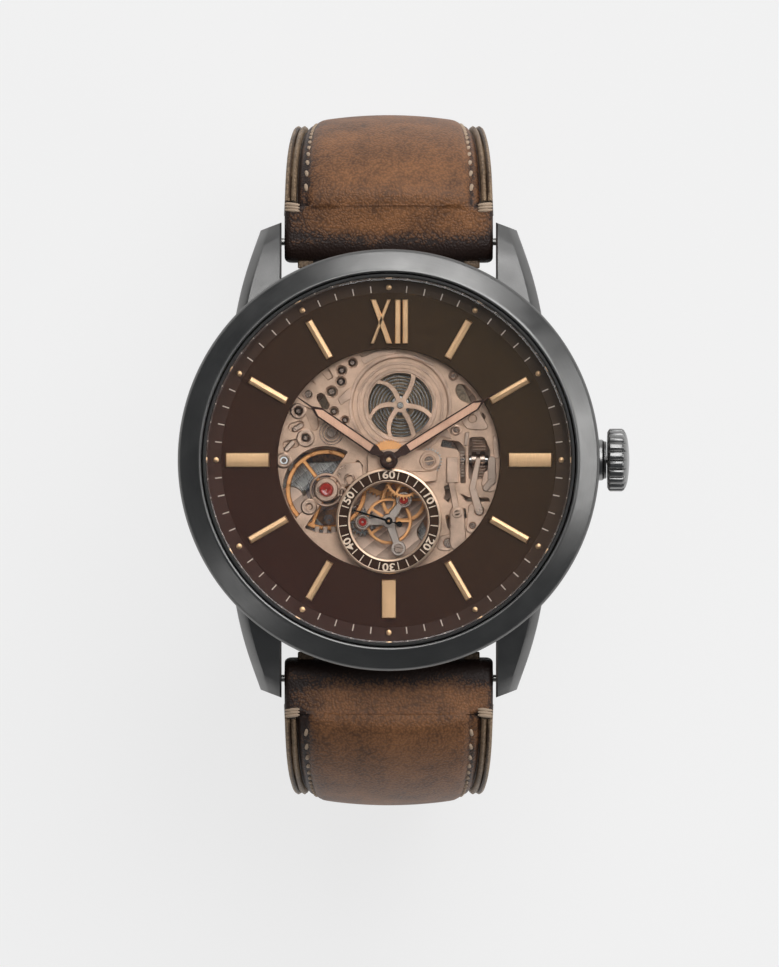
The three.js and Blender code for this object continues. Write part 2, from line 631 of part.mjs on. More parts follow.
function mainPlate() {
  const body = join(
    post(MOVEMENT_R, H_PLATE, CENTRE, SMOOTH),
    ring(...PLATE_RIM, [ARBOR[0], H_PLATE[0] + 0.01], SMOOTH),
  );
  return cut(
    body,
    barrelWindow(),
    balanceWindow(),
    hole(FOURTH, SECONDS_WINDOW_R, MEDIUM),
    block(STEM_SLOT, [-STEM_SLOT_HALF, STEM_SLOT_HALF], tall),
    block([11, 14], [-0.7, 0.7], [4, H_PLATE[0] + 0.02]),
    hole(BARREL, 0.4, PIN),
    hole(CENTRE, 0.45),
    hole(BALANCE, 0.3, PIN),
    ...PILLAR_HOLES.map(([x, y, r]) => hole([x, y], r, PIN)),
    ...BEAN_WINDOWS.map(([a, b, r]) => plate(slot(a, b, r), tall, 2)),
    ...RIM_BITES.map(([x, y, r]) => post(r, [H_PLATE[0] + 0.3, 20], [x, y], SMALL)),
  );
}
add("main_plate", mainPlate(), rose, inCase(CENTRE));

// Outlines of the back bridges, on a circle of the movement's radius.
const BRIDGE_R = 12.9;

function sector(r, from, to, extra = []) {
  const outline = new THREE.Shape();
  outline.absarc(0, 0, r, THREE.MathUtils.degToRad(from), THREE.MathUtils.degToRad(to), false);
  extra.forEach(([x, y]) => outline.lineTo(x, y));
  outline.closePath();
  return outline;
}

function barrelBridge() {
  const outline = sector(BRIDGE_R, -9, 176, [[-5, 0.6], [-1.5, -1.3], [3, -2.9]]);
  return cut(
    plate(outline, H_BRIDGE, 10),
    hole(BARREL, 1.05, MEDIUM),
    hole(CENTRE, ARBOR_R + PIVOT_CLEAR, PIN),
    hole(CROWN_WHEEL, 2.8, MEDIUM),
    plate(slot([-6.5, 5.5], [-3.8, 8.7], 0.9), tall, 3),
    plate(slot([8.6, 4], [6.7, 7.6], 0.9), tall, 3),
    plate(slot([-8.5, 2.2], [-5.5, 2.2], 0.6), tall, 3),
  );
}
add("barrel_bridge", barrelBridge(), steel, inCase(CENTRE));

function trainBridge() {
  const outline = sector(BRIDGE_R, 248, 348, [[3.2, -3.2], [-1.6, -1.6], [-4.9, -4.6]]);
  const pivots = [THIRD, FOURTH, ESCAPE, PALLET].map((at) => hole(at, ARBOR_R + PIVOT_CLEAR, PIN));
  return cut(
    plate(outline, H_BRIDGE, 8),
    ...pivots,
    plate(slot([4, -7.5], [5.5, -5.2], 1), tall, 3),
    plate(slot([7.6, -6.6], [8.6, -4.6], 0.7), tall, 3),
  );
}
add("train_bridge", trainBridge(), steel, inCase(CENTRE));

function balanceCock() {
  const arm = plate(slot(BALANCE, [-9.9, -5.6], 1.5), [3.9, 4.7], 4);
  const table = plate(slot([-8.8, -6.2], [-10.2, -4.2], 1.6), [3.9, 4.7], 4);
  const inMovement = hole(CENTRE, BRIDGE_R, SMOOTH);
  return cut(common(join(arm, table), inMovement), hole(BALANCE, 0.35));
}
add("balance_cock", balanceCock(), steel, inCase(CENTRE));

// Steel cock seen in the small-seconds window; it stands on one screwed foot.
const SECONDS_COCK_H = [7.25, 8.05];
const SECONDS_COCK_FOOT = [1, -9.2];
function secondsCock() {
  const ends = [THIRD, ESCAPE, SECONDS_COCK_FOOT];
  const arms = ends.map((end) => plate(strut(FOURTH, end, 0.42), SECONDS_COCK_H));
  const lobes = ends.map((at) => post(0.85, SECONDS_COCK_H, at, 14));
  const foot = post(0.6, [H_BRIDGE[1] + GAP, SECONDS_COCK_H[1] - 0.1], SECONDS_COCK_FOOT);
  const pivots = [THIRD, FOURTH, ESCAPE].map((at) => hole(at, ARBOR_R + PIVOT_CLEAR, PIN));
  return cut(join(...arms, ...lobes, foot), ...pivots);
}
add("seconds_cock", secondsCock(), steel, inCase(CENTRE));

function movementHolder() {
  const body = turned([
    [MOVEMENT_R + 0.15, 3.2], [16.6, 3.2], [BORE_R - 0.1, 4.2], [BORE_R - 0.1, 9.05],
    [MOVEMENT_R + 0.15, 9.05], [MOVEMENT_R + 0.15, 3.2],
  ]);
  return cut(body, barX(TUBE.fitR + 0.1, [12, 21], [0, STEM_H]));
}
add("movement_holder", movementHolder(), rubber, inCase(CENTRE));

// ================================================================ going train
// Each entry of a pair in mesh has its tooth or its gap on the line between the two centres.
const toothToward = (from, to) => direction(from, to);
const gapToward = (from, to, teeth) => direction(from, to) + Math.PI / teeth;

const [BARREL_PITCH, CENTRE_LEAF] = pitchRadii("barrel", "centrePinion", distance(BARREL, CENTRE));
const [CENTRE_PITCH, THIRD_LEAF] = pitchRadii("centreWheel", "thirdPinion", distance(CENTRE, THIRD));
const [THIRD_PITCH, FOURTH_LEAF] = pitchRadii("thirdWheel", "fourthPinion", distance(THIRD, FOURTH));
const [FOURTH_PITCH, ESCAPE_LEAF] = pitchRadii("fourthWheel", "escapePinion", distance(FOURTH, ESCAPE));

// A pinion whose gap faces the wheel that drives it.
function pinionOutline(name, pitchR, from, to) {
  return gearOutline(TEETH[name], pitchR, gapToward(from, to, TEETH[name]));
}

const BARREL_ARBOR_R = 0.95;
const DRUM = { out: 4.65, in: 4.4, floor: 5.7 };

function barrel() {
  const outline = gearOutline(TEETH.barrel, BARREL_PITCH, toothToward(BARREL, CENTRE));
  outline.holes.push(circle((DRUM.in + DRUM.out) / 2 + 0.02));
  const drum = turned([
    [BARREL_ARBOR_R + 0.1, H_BARREL[0]], [DRUM.out, H_BARREL[0]], [DRUM.out, 6.9], [DRUM.in, 6.9],
    [DRUM.in, DRUM.floor], [BARREL_ARBOR_R + 0.1, DRUM.floor], [BARREL_ARBOR_R + 0.1, H_BARREL[0]],
  ], MEDIUM);
  return join(plate(outline, H_BARREL_TEETH, 8), drum);
}
add("barrel", barrel(), brass, inCase(BARREL));

// A flat ribbon wound in a plane, from the inner radius to the outer one.
function spiral(inner, outer, turns, thick, h, stepsPerTurn, start = 0) {
  const steps = Math.round(turns * stepsPerTurn);
  const side = (shift) => Array.from({ length: steps + 1 }, (_, i) => {
    const a = start + (i / stepsPerTurn) * 2 * Math.PI;
    const r = inner + ((outer - inner) * i) / steps + shift;
    return [r * Math.cos(a), r * Math.sin(a)];
  });
  return plate(polygon([...side(thick / 2), ...side(-thick / 2).reverse()]), h);
}
add("mainspring", spiral(1.25, 4.3, 4, 0.18, [5.8, 6.8], 12), steel, inCase(BARREL));

// The ratchet wheel is square-fitted to the arbor on which the mainspring winds.
const RATCHET_SPREAD = distance(BARREL, CROWN_WHEEL);
const [RATCHET_PITCH, CROWN_WHEEL_PITCH] = pitchRadii("ratchet", "crownWheel", RATCHET_SPREAD);
add("ratchet_wheel", join(
  plate(gearOutline(TEETH.ratchet, RATCHET_PITCH, toothToward(BARREL, CROWN_WHEEL)), H_RATCHET),
  post(BARREL_ARBOR_R, [3.5, 7.1], CENTRE, MEDIUM),
  post(0.34, [7, 8], CENTRE, PIN),
), steel, inCase(BARREL));

function crownWheel() {
  const phase = gapToward(CROWN_WHEEL, BARREL, TEETH.crownWheel);
  const spur = plate(gearOutline(TEETH.crownWheel, CROWN_WHEEL_PITCH, phase), H_RATCHET);
  const drum = post(2.55, [3.6, H_CONTRATE], CENTRE, MEDIUM);
  return cut(join(spur, drum), hole(CENTRE, 1.5));
}
add("crown_wheel", crownWheel(), steel, inCase(CROWN_WHEEL));

function centreWheel() {
  const wheel = gearOutline(TEETH.centreWheel, CENTRE_PITCH, toothToward(CENTRE, THIRD));
  const pinion = pinionOutline("centrePinion", CENTRE_LEAF, CENTRE, BARREL);
  return join(
    plate(addWindows(wheel, 5, 1, 3.3, 0.45), H_CENTRE_WHEEL, 2),
    plate(pinion, [6.62, 7.1]),
    post(0.45, [5.3, 6.7], CENTRE, PIN),
    post(ARBOR_R, [H_BRIDGE[0], 10.75], CENTRE, PIN),
  );
}
add("centre_wheel", centreWheel(), copper, inCase(CENTRE));

function thirdWheel() {
  const wheel = gearOutline(TEETH.thirdWheel, THIRD_PITCH, toothToward(THIRD, FOURTH));
  const pinion = pinionOutline("thirdPinion", THIRD_LEAF, THIRD, CENTRE);
  return join(
    plate(addWindows(wheel, 5, 0.7, 1.95, 0.3), H_THIRD_WHEEL, 2),
    plate(pinion, [5.1, 5.9]),
    post(0.3, [5.5, 6.4], CENTRE, PIN),
    post(ARBOR_R, [4.2, 7.7], CENTRE, PIN),
  );
}
add("third_wheel", thirdWheel(), copper, inCase(THIRD));

function fourthWheel() {
  const wheel = gearOutline(TEETH.fourthWheel, FOURTH_PITCH, toothToward(FOURTH, ESCAPE));
  const pinion = pinionOutline("fourthPinion", FOURTH_LEAF, FOURTH, THIRD);
  return join(
    plate(addWindows(wheel, 5, 0.65, 2.1, 0.3), H_FOURTH_WHEEL, 2),
    plate(pinion, [5.9, 6.6]),
    post(ARBOR_R, [4.2, H_SECOND_HAND[1] + 0.1], CENTRE, PIN),
  );
}
add("fourth_wheel", fourthWheel(), copper, inCase(FOURTH));

const ESCAPE_TIP_R = 1.5;
const ESCAPE_ROOT_R = 1.18;
function escapeWheel() {
  const points = [];
  const pitch = (2 * Math.PI) / TEETH.escapeWheel;
  for (let i = 0; i < TEETH.escapeWheel; i++) {
    const a = i * pitch;
    points.push([ESCAPE_ROOT_R * Math.cos(a), ESCAPE_ROOT_R * Math.sin(a)]);
    points.push([ESCAPE_TIP_R * Math.cos(a + 0.42 * pitch), ESCAPE_TIP_R * Math.sin(a + 0.42 * pitch)]);
    points.push([ESCAPE_TIP_R * Math.cos(a + 0.6 * pitch), ESCAPE_TIP_R * Math.sin(a + 0.6 * pitch)]);
  }
  const pinion = pinionOutline("escapePinion", ESCAPE_LEAF, ESCAPE, FOURTH);
  return join(
    plate(addWindows(polygon(points), 4, 0.4, 0.98, 0.2), H_ESCAPE_WHEEL, 2),
    plate(pinion, [5.6, 6.9]),
    post(ARBOR_R * 0.7, [4.2, 7.7], CENTRE, PIN),
  );
}
add("escape_wheel", escapeWheel(), steel, inCase(ESCAPE));

// The fork's two stones stand just off the tips of the escape wheel's teeth.
// Its arbor ends under the balance, whose spokes pass over it.
const FORK = { length: 2.42, armAngle: 1.1, stoneReach: 0.97, hornAngle: 0.075, h: [5.42, 5.72], top: 6.1 };
function palletFork() {
  const toEscape = direction(PALLET, ESCAPE);
  const toBalance = direction(PALLET, BALANCE);
  const along = (r, a) => [r * Math.cos(a), r * Math.sin(a)];
  const bar = (from, to, half) => plate(slot(from, to, half), FORK.h, 2);
  const stoneAt = (s) => along(FORK.stoneReach, toEscape + s * FORK.armAngle);
  const hornRoot = along(FORK.length - 0.3, toBalance);
  const hornTip = (s) => along(FORK.length, toBalance + s * FORK.hornAngle);
  const arms = [-1, 1].map((s) => bar(CENTRE, stoneAt(s), 0.1));
  const lever = bar(CENTRE, along(FORK.length - 0.2, toBalance), 0.13);
  const horns = [-1, 1].map((s) => bar(hornRoot, hornTip(s), 0.08));
  const arbor = post(0.12, [4.2, FORK.top], CENTRE, PIN);
  const notch = post(0.1, tall, along(FORK.length + 0.12, toBalance), PIN);
  return cut(join(...arms, lever, ...horns, arbor), notch);
}
add("pallet_fork", palletFork(), steel, inCase(PALLET));

const BALANCE_RIM = [3.73, 4.2];
const ROLLER = { r: 0.62, h: [5.2, 5.35], pinAt: 0.42, pinR: 0.07 };
function balanceWheel() {
  const firstSpoke = THREE.MathUtils.degToRad(128);
  const outline = addWindows(circle(BALANCE_RIM[1]), 3, 0.55, BALANCE_RIM[0], 0.42, firstSpoke);
  const toPallet = direction(BALANCE, PALLET);
  const pin = [ROLLER.pinAt * Math.cos(toPallet), ROLLER.pinAt * Math.sin(toPallet)];
  return join(
    plate(outline, H_BALANCE, 9),
    post(0.14, [4.2, 7.6], CENTRE, PIN),
    post(ROLLER.r, ROLLER.h, CENTRE),
    post(ROLLER.pinR, [ROLLER.h[0] + 0.05, 5.7], pin, 8),
  );
}
add("balance_wheel", balanceWheel(), copper, inCase(BALANCE));
add("hairspring", spiral(0.5, 2.1, 4, 0.06, [4.85, 5.05], 10), steel, inCase(BALANCE));

// ================================================================ motion works under the dial
const MINUTE_SPREAD = distance(CENTRE, MINUTE_WHEEL);
const [CANNON_PITCH, MINUTE_WHEEL_PITCH] = pitchRadii("cannon", "minuteWheel", MINUTE_SPREAD);
const [HOUR_PITCH, MINUTE_PINION_PITCH] = pitchRadii("hourWheel", "minutePinion", MINUTE_SPREAD);
const SETTING_PITCH = distance(MINUTE_WHEEL, SETTING_WHEEL) - MINUTE_WHEEL_PITCH;
const PIPE = { cannonIn: 0.2, cannonOut: 0.34, hourIn: 0.4, hourOut: 0.56 };

function cannonPinion() {
  const phase = toothToward(CENTRE, MINUTE_WHEEL);
  const body = join(
    plate(gearOutline(TEETH.cannon, CANNON_PITCH, phase), H_MINUTE_WHEEL),
    post(PIPE.cannonOut, [7.5, H_MINUTE_HAND[1] + 0.05]),
  );
  return cut(body, hole(CENTRE, PIPE.cannonIn, PIN));
}
add("cannon_pinion", cannonPinion(), steel, inCase(CENTRE));

function minuteWheel() {
  const wheel = pinionOutline("minuteWheel", MINUTE_WHEEL_PITCH, MINUTE_WHEEL, CENTRE);
  const pinion = gearOutline(TEETH.minutePinion, MINUTE_PINION_PITCH, toothToward(MINUTE_WHEEL, CENTRE));
  const body = join(plate(wheel, H_MINUTE_WHEEL), plate(pinion, [8.3, H_HOUR_WHEEL[1]]));
  return cut(body, hole(CENTRE, 0.25, PIN));
}
add("minute_wheel", minuteWheel(), brass, inCase(MINUTE_WHEEL));

function hourWheel() {
  const wheel = gearOutline(TEETH.hourWheel, HOUR_PITCH, gapToward(CENTRE, MINUTE_WHEEL, TEETH.hourWheel));
  const pipe = post(PIPE.hourOut, [H_HOUR_WHEEL[0], H_HOUR_HAND[1] + 0.05]);
  const body = join(plate(wheel, H_HOUR_WHEEL), pipe);
  return cut(body, hole(CENTRE, PIPE.hourIn));
}
add("hour_wheel", hourWheel(), brass, inCase(CENTRE));

// The setting wheel's teeth stand in the gaps that the minute wheel shows it.
const minuteTooth = gapToward(MINUTE_WHEEL, CENTRE, TEETH.minuteWheel);
const settingLine = direction(MINUTE_WHEEL, SETTING_WHEEL);
const settingShift = ((settingLine - minuteTooth) * TEETH.minuteWheel) / TEETH.settingWheel;
const settingPhase = settingLine + Math.PI + settingShift + Math.PI / TEETH.settingWheel;
const settingOutline = gearOutline(TEETH.settingWheel, SETTING_PITCH, settingPhase);
const settingWheel = cut(plate(settingOutline, H_MINUTE_WHEEL), hole(CENTRE, 0.35, PIN));
add("setting_wheel", settingWheel, steel, inCase(SETTING_WHEEL));

function motionCover() {
  const arm = plate(slot([0, 0], SETTING_WHEEL, 1.1), H_COVER, 5);
  const corners = [[-2.2, 0.9], [-2.2, -1.4], [2.6, -2.4], [5, -2.2], [5, -0.4], [2.4, 1.3]];
  const stud = (r, at) => post(r, [H_PLATE[1] + GAP, 8.9], at, PIN);
  const studs = [stud(0.28, SETTING_WHEEL), stud(0.2, MINUTE_WHEEL)];
  const body = join(arm, plate(polygon(corners), H_COVER), ...studs);
  return cut(body, hole(CENTRE, 0.65));
}
add("motion_cover", motionCover(), rose, inCase(CENTRE));

// ================================================================ keyless works
function windingPinion() {
  const outline = gearOutline(TEETH.windingPinion, 0.85, 0);
  const body = plate(outline, [6.45, 7.25]).rotateY(Math.PI / 2);
  return cut(body, barX(STEM.grooveR + GAP, [-10, 10], [0, 0], PIN));
}
add("winding_pinion", windingPinion(), steel, [0, 0, CASE_Z + STEM_H]);

function slidingPinion() {
  const profile = [
    [STEM.r + GAP, 8.6], [0.85, 8.6], [0.85, 9.1], [0.6, 9.1], [0.6, 9.5], [0.85, 9.5], [0.85, 10],
    [STEM.r + GAP, 10], [STEM.r + GAP, 8.6],
  ];
  return turned(profile, 20).rotateY(Math.PI / 2);
}
add("sliding_pinion", slidingPinion(), steel, [0, 0, CASE_Z + STEM_H]);

const KEYLESS_H = [H_PLATE[1] + GAP, 8.4];
function settingLever() {
  const nose = [0, -SETTING_LEVER[1]];
  const body = join(
    plate(slot(CENTRE, nose, 0.42), KEYLESS_H, 3),
    plate(slot(CENTRE, [-0.6, -0.7], 0.35), KEYLESS_H, 3),
    post(0.16, [STEM_H + 0.38, 8.3], nose, PIN),
  );
  return cut(body, hole(CENTRE, 0.2, PIN));
}
add("setting_lever", settingLever(), rose, inCase(SETTING_LEVER));

function yoke() {
  const finger = [-0.1, -YOKE[1]];
  const body = join(
    plate(slot(CENTRE, [-0.7, 2.4], 0.4), KEYLESS_H, 3),
    plate(slot([-0.7, 2.4], finger, 0.3), KEYLESS_H, 3),
    post(0.12, [STEM_H + 0.65, 8.3], finger, PIN),
  );
  return cut(body, hole(CENTRE, 0.2, PIN));
}
add("yoke", yoke(), rose, inCase(YOKE));

function settingSpring() {
  const body = join(
    plate(slot([7.2, -8.6], [7.1, -5.5], 0.9), KEYLESS_H, 4),
    plate(strut([7.1, -5.5], [6.5, -2.2], 0.45), KEYLESS_H),
    block([6, 7.25], [-2.4, 0.35], KEYLESS_H),
  );
  return cut(body, hole([7.1, -5.5], 0.35, PIN));
}
add("setting_spring", settingSpring(), rose, inCase(CENTRE));

// ================================================================ rotor
const ROTOR = { r: 13.2, rimIn: 10.4, hubR: 2.6, from: 182, to: 358 };
function rotor() {
  const rim = new THREE.Shape();
  const a = THREE.MathUtils.degToRad(ROTOR.from);
  const b = THREE.MathUtils.degToRad(ROTOR.to);
  rim.absarc(0, 0, ROTOR.r, a, b, false);
  rim.absarc(0, 0, ROTOR.rimIn, b, a, true);
  rim.closePath();
  const web = new THREE.Shape();
  web.absarc(0, 0, ROTOR.rimIn + 0.5, a, b, false);
  web.absarc(0, 0, ROTOR.hubR, 0.5, Math.PI - 0.5, false);
  web.closePath();
  const windows = [225, 270, 315].map((degrees) => {
    const w = THREE.MathUtils.degToRad(degrees);
    const out = (r) => [r * Math.cos(w), r * Math.sin(w)];
    return plate(slot(out(5), out(8.3), 1.3), tall, 3);
  });
  const body = join(plate(rim, H_ROTOR_RIM, 10), plate(web, H_ROTOR_WEB, 10));
  return cut(body, ...windows, hole(CENTRE, 1.3, 24));
}
add("oscillating_weight", rotor(), steel, inCase(CENTRE));
add("rotor_bearing", join(post(1.2, [2.2, 3.85], CENTRE, 24), post(1.7, [2.2, 2.55], CENTRE, 24)),
  steel, inCase(CENTRE));

// ================================================================ dial
const MARK = { in: 12.2, out: 16.7, half: 0.375, wideIn: 12.4, wideOut: 17, sixOut: 16.5, wideHalf: 0.72 };
const MARK_EDGE = 0.23; // height of a mark's long edges over the dial
const MARK_RIDGE = 0.35;

// A faceted bar that points outward along +Y, with a ridge along its middle.
function hourMark(inner, outer, half) {
  const section = [[-half, -0.1], [half, -0.1], [half, MARK_EDGE], [0, MARK_RIDGE], [-half, MARK_EDGE]];
  return frontBar(polygon(section), [inner, outer]).translate(0, 0, H_DIAL[1]);
}

// The hour marks are riveted to the dial by their feet and make one piece with it.
function dial() {
  const marks = [];
  for (let hour = 1; hour <= 11; hour++) {
    const wide = hour % 3 === 0;
    const outer = hour === 6 ? MARK.sixOut : MARK.wideOut;
    const bar = wide ? hourMark(MARK.wideIn, outer, MARK.wideHalf) : hourMark(MARK.in, MARK.out, MARK.half);
    marks.push(bar.rotateZ(-THREE.MathUtils.degToRad(hour * 30)));
  }
  return cut(join(plate(circle(DIAL_R), H_DIAL, MEDIUM), ...marks), hole(CENTRE, APERTURE_R, SMOOTH));
}
add("dial", dial(), dialBrown, inCase(CENTRE));
add("rehaut_ring", turned([
  [18.9, 9.55], [GASKET_R, 9.55], [GASKET_R, 10.95], [19.05, 10.95], [18.9, 9.55],
]), gunmetal, inCase(CENTRE));

const SUBDIAL = { out: 5.5, in: 4, top: 9.8 };
add("seconds_ring", turned([
  [SUBDIAL.in, H_DIAL[0]], [5.2, H_DIAL[0]], [5.2, 9.52], [SUBDIAL.out, 9.55], [5.3, SUBDIAL.top],
  [5.15, 9.7], [4.25, 9.7], [4.12, SUBDIAL.top], [SUBDIAL.in, 9.65], [SUBDIAL.in, H_DIAL[0]],
], 28), dialBrown, inCase(FOURTH));

function numeralTwelve() {
  const h = [H_MARKS[0], H_MARKS[0] + 0.28];
  const y = [12.15, 16.7];
  const stroke = (xBottom, xTop, half) => plate(polygon([
    [xBottom - half, y[0]], [xBottom + half, y[0]], [xTop + half, y[1]], [xTop - half, y[1]],
  ]), h);
  const letterX = [stroke(0.02, -1.65, 0.3), stroke(-1.72, 0.1, 0.16)];
  const lettersI = [0.92, 1.72].map((x) => stroke(x, x, 0.28));
  const base = block([-1.7, 2], [14, 14.6], [h[0], h[0] + 0.08]);
  return join(...letterX, ...lettersI, base);
}
add("numeral_12", numeralTwelve(), copper, inCase(CENTRE));

// ================================================================ hands
const FIT_GAP = 0.03; // a hand's bore round its pipe
const HOUR_HAND = {
  h: H_HOUR_HAND, hubR: 0.95, boreR: PIPE.hourOut + FIT_GAP, half: 0.52, shoulder: 8.6, tip: 11.5,
};
const MINUTE_HAND = {
  h: H_MINUTE_HAND, hubR: 0.8, boreR: PIPE.cannonOut + FIT_GAP, half: 0.5, shoulder: 10.6, tip: 13.6,
};

// A hand points along +Y before it is turned to its time; it tapers to a thin tip.
function hand({ h, hubR, boreR, half, shoulder, tip }) {
  const right = [[0.35, 0], [half, 2], [half, shoulder], [0.07, shoulder + 0.9], [0.04, tip]];
  const left = right.map(([x, y]) => [-x, y]).reverse();
  return cut(join(plate(polygon([...right, ...left]), h), post(hubR, h, CENTRE, 24)), hole(CENTRE, boreR));
}
const hourHand = add("hour_hand", hand(HOUR_HAND), handBrown, inCase(CENTRE));
hourHand.rotation.z = clockwise(HOUR_ANGLE) - Math.PI / 2;
const minuteHand = add("minute_hand", hand(MINUTE_HAND), handBrown, inCase(CENTRE));
minuteHand.rotation.z = clockwise(MINUTE_ANGLE) - Math.PI / 2;

function secondHand() {
  const blade = polygon([[-0.1, -1], [0.1, -1], [0.12, 0], [0.03, 3.8], [-0.03, 3.8], [-0.12, 0]]);
  const tail = post(0.3, H_SECOND_HAND, [0, -1.15], PIN);
  const body = join(plate(blade, H_SECOND_HAND), post(0.4, H_SECOND_HAND), tail);
  return cut(body, hole(CENTRE, ARBOR_R + FIT_GAP, PIN));
}
const secondsHand = add("second_hand", secondHand(), handBrown, inCase(FOURTH));
secondsHand.rotation.z = clockwise(SECOND_ANGLE) - Math.PI / 2;

export default watch;
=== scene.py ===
# Skeleton wristwatch with an open-worked movement, small seconds and a closed leather strap.
# Metres, +Z up; the dial faces +Z, twelve o'clock points to +Y, the crown to +X.
import json
import math

import bmesh
import bpy
from mathutils import Matrix, Vector

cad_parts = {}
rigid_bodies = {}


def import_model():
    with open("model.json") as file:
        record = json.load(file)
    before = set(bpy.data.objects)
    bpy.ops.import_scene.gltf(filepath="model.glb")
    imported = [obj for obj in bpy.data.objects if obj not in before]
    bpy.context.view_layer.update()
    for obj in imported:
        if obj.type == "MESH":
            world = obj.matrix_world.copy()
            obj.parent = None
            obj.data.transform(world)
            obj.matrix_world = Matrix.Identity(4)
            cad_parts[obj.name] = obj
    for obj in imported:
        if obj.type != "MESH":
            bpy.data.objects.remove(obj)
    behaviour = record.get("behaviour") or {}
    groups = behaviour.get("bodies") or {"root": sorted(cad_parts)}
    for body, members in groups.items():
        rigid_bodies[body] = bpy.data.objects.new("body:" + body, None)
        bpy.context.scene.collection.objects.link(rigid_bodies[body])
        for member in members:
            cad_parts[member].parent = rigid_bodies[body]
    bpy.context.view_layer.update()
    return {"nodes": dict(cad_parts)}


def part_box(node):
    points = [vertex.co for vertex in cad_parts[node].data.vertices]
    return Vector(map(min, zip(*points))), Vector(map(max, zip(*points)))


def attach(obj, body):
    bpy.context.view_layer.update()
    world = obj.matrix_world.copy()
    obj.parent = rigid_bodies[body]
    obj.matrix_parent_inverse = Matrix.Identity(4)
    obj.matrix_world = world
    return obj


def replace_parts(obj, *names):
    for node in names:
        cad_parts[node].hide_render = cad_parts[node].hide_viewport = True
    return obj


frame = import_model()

# ------------------------------------------------------------------ middle case and lugs
# The middle case is a turned steel ring, plated dark gunmetal and brushed round its side.
# Four lugs, brushed lengthwise, stand out of it and carry the two spring bars.
MM = 0.001
CASE_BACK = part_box("case_back_ring")[0][2] / MM  # heights in the watch are counted from here
ROUND = 192  # sides of a large turned piece


def turned(profile, sides=ROUND, at=(0, 0)):
    """A closed profile of (radius, height) points, turned about an upright axis."""
    verts = []
    for i in range(sides):
        a = 2 * math.pi * i / sides
        verts += [(at[0] + r * math.cos(a), at[1] + r * math.sin(a), h) for r, h in profile]
    n = len(profile)
    faces = []
    for i in range(sides):
        here, there = i * n, (i + 1) % sides * n
        for k in range(n):
            j = (k + 1) % n
            faces.append((here + k, there + k, there + j, here + j))
    return verts, faces


def eased(profile, size, steps=2):
    """The same closed profile with each corner rounded off."""
    out = []
    for k, p in enumerate(profile):
        p = Vector(p)
        before, after = Vector(profile[k - 1]) - p, Vector(profile[(k + 1) % len(profile)]) - p
        reach = min(size, before.length * 0.4, after.length * 0.4)
        if reach == 0 or p.x == 0:
            out.append(tuple(p))
            continue
        a, b = p + before.normalized() * reach, p + after.normalized() * reach
        for i in range(steps + 1):
            t = i / steps
            out.append(tuple(a * (1 - t) ** 2 + p * 2 * t * (1 - t) + b * t ** 2))
    return out


def loft(rings, closed_ends=True):
    """Skin over rings of points that all have the same number of points."""
    n = len(rings[0])
    verts = [tuple(p) for ring in rings for p in ring]
    faces = []
    for i in range(len(rings) - 1):
        for k in range(n):
            j = (k + 1) % n
            faces.append((i * n + k, i * n + j, (i + 1) * n + j, (i + 1) * n + k))
    if closed_ends:
        faces.append(tuple(reversed(range(n))))
        faces.append(tuple(range(len(verts) - n, len(verts))))
    return verts, faces


def moved(part, matrix):
    verts, faces = part
    return [tuple(matrix @ Vector(v)) for v in verts], faces


def joined(parts):
    verts, faces = [], []
    for v, f in parts:
        faces += [tuple(len(verts) + i for i in face) for face in f]
        verts += v
    return verts, faces


def piece(name, parts, material, body, replaces=(), lift=CASE_BACK, sharp=32):
    """One piece of the watch, from parts in millimetres, moved up by lift."""
    verts, faces = joined(parts)
    mesh = bpy.data.meshes.new(name)
    mesh.from_pydata([(x * MM, y * MM, (z + lift) * MM) for x, y, z in verts], [], faces)
    bm = bmesh.new()
    bm.from_mesh(mesh)
    bmesh.ops.remove_doubles(bm, verts=bm.verts, dist=1e-7)
    bmesh.ops.dissolve_degenerate(bm, edges=bm.edges, dist=1e-8)
    bmesh.ops.recalc_face_normals(bm, faces=bm.faces)
    bm.to_mesh(mesh)
    bm.free()
    mesh.shade_smooth()
    mesh.set_sharp_from_angle(angle=math.radians(sharp))
    mesh.materials.append(material)
    obj = bpy.data.objects.new(name, mesh)
    bpy.context.scene.collection.objects.link(obj)
    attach(obj, body)
    if replaces:
        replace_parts(obj, *replaces)
    return obj


def shader(name, base, roughness, metallic=0.0, **more):
    """A material with one Principled shader; its plain values are set on the sockets."""
    material = bpy.data.materials.new(name)
    material.use_nodes = True
    tree = material.node_tree
    bsdf = tree.nodes["Principled BSDF"]
    bsdf.inputs["Base Color"].default_value = (*base, 1)
    bsdf.inputs["Roughness"].default_value = roughness
    bsdf.inputs["Metallic"].default_value = metallic
    for key, value in more.items():
        bsdf.inputs[key.replace("_", " ")].default_value = value
    return material, tree, bsdf


def wire(tree, kind, values=(), **settings):
    """A node with its settings; values maps an input to a number or to another node's output."""
    node = tree.nodes.new(kind)
    for key, value in settings.items():
        setattr(node, key, value)
    for key, value in dict(values).items():
        if isinstance(value, bpy.types.NodeSocket):
            tree.links.new(value, node.inputs[key])
        else:
            node.inputs[key].default_value = value
    return node


def effect(name, inputs, outputs):
    """An empty node group with named sockets, and its input and output nodes."""
    group = bpy.data.node_groups.new(name, "ShaderNodeTree")
    for socket, kind, value in inputs:
        made = group.interface.new_socket(socket, in_out="INPUT", socket_type="NodeSocket" + kind)
        made.default_value = value
    for socket, kind in outputs:
        group.interface.new_socket(socket, in_out="OUTPUT", socket_type="NodeSocket" + kind)
    return group, group.nodes.new("NodeGroupInput").outputs, group.nodes.new("NodeGroupOutput").inputs


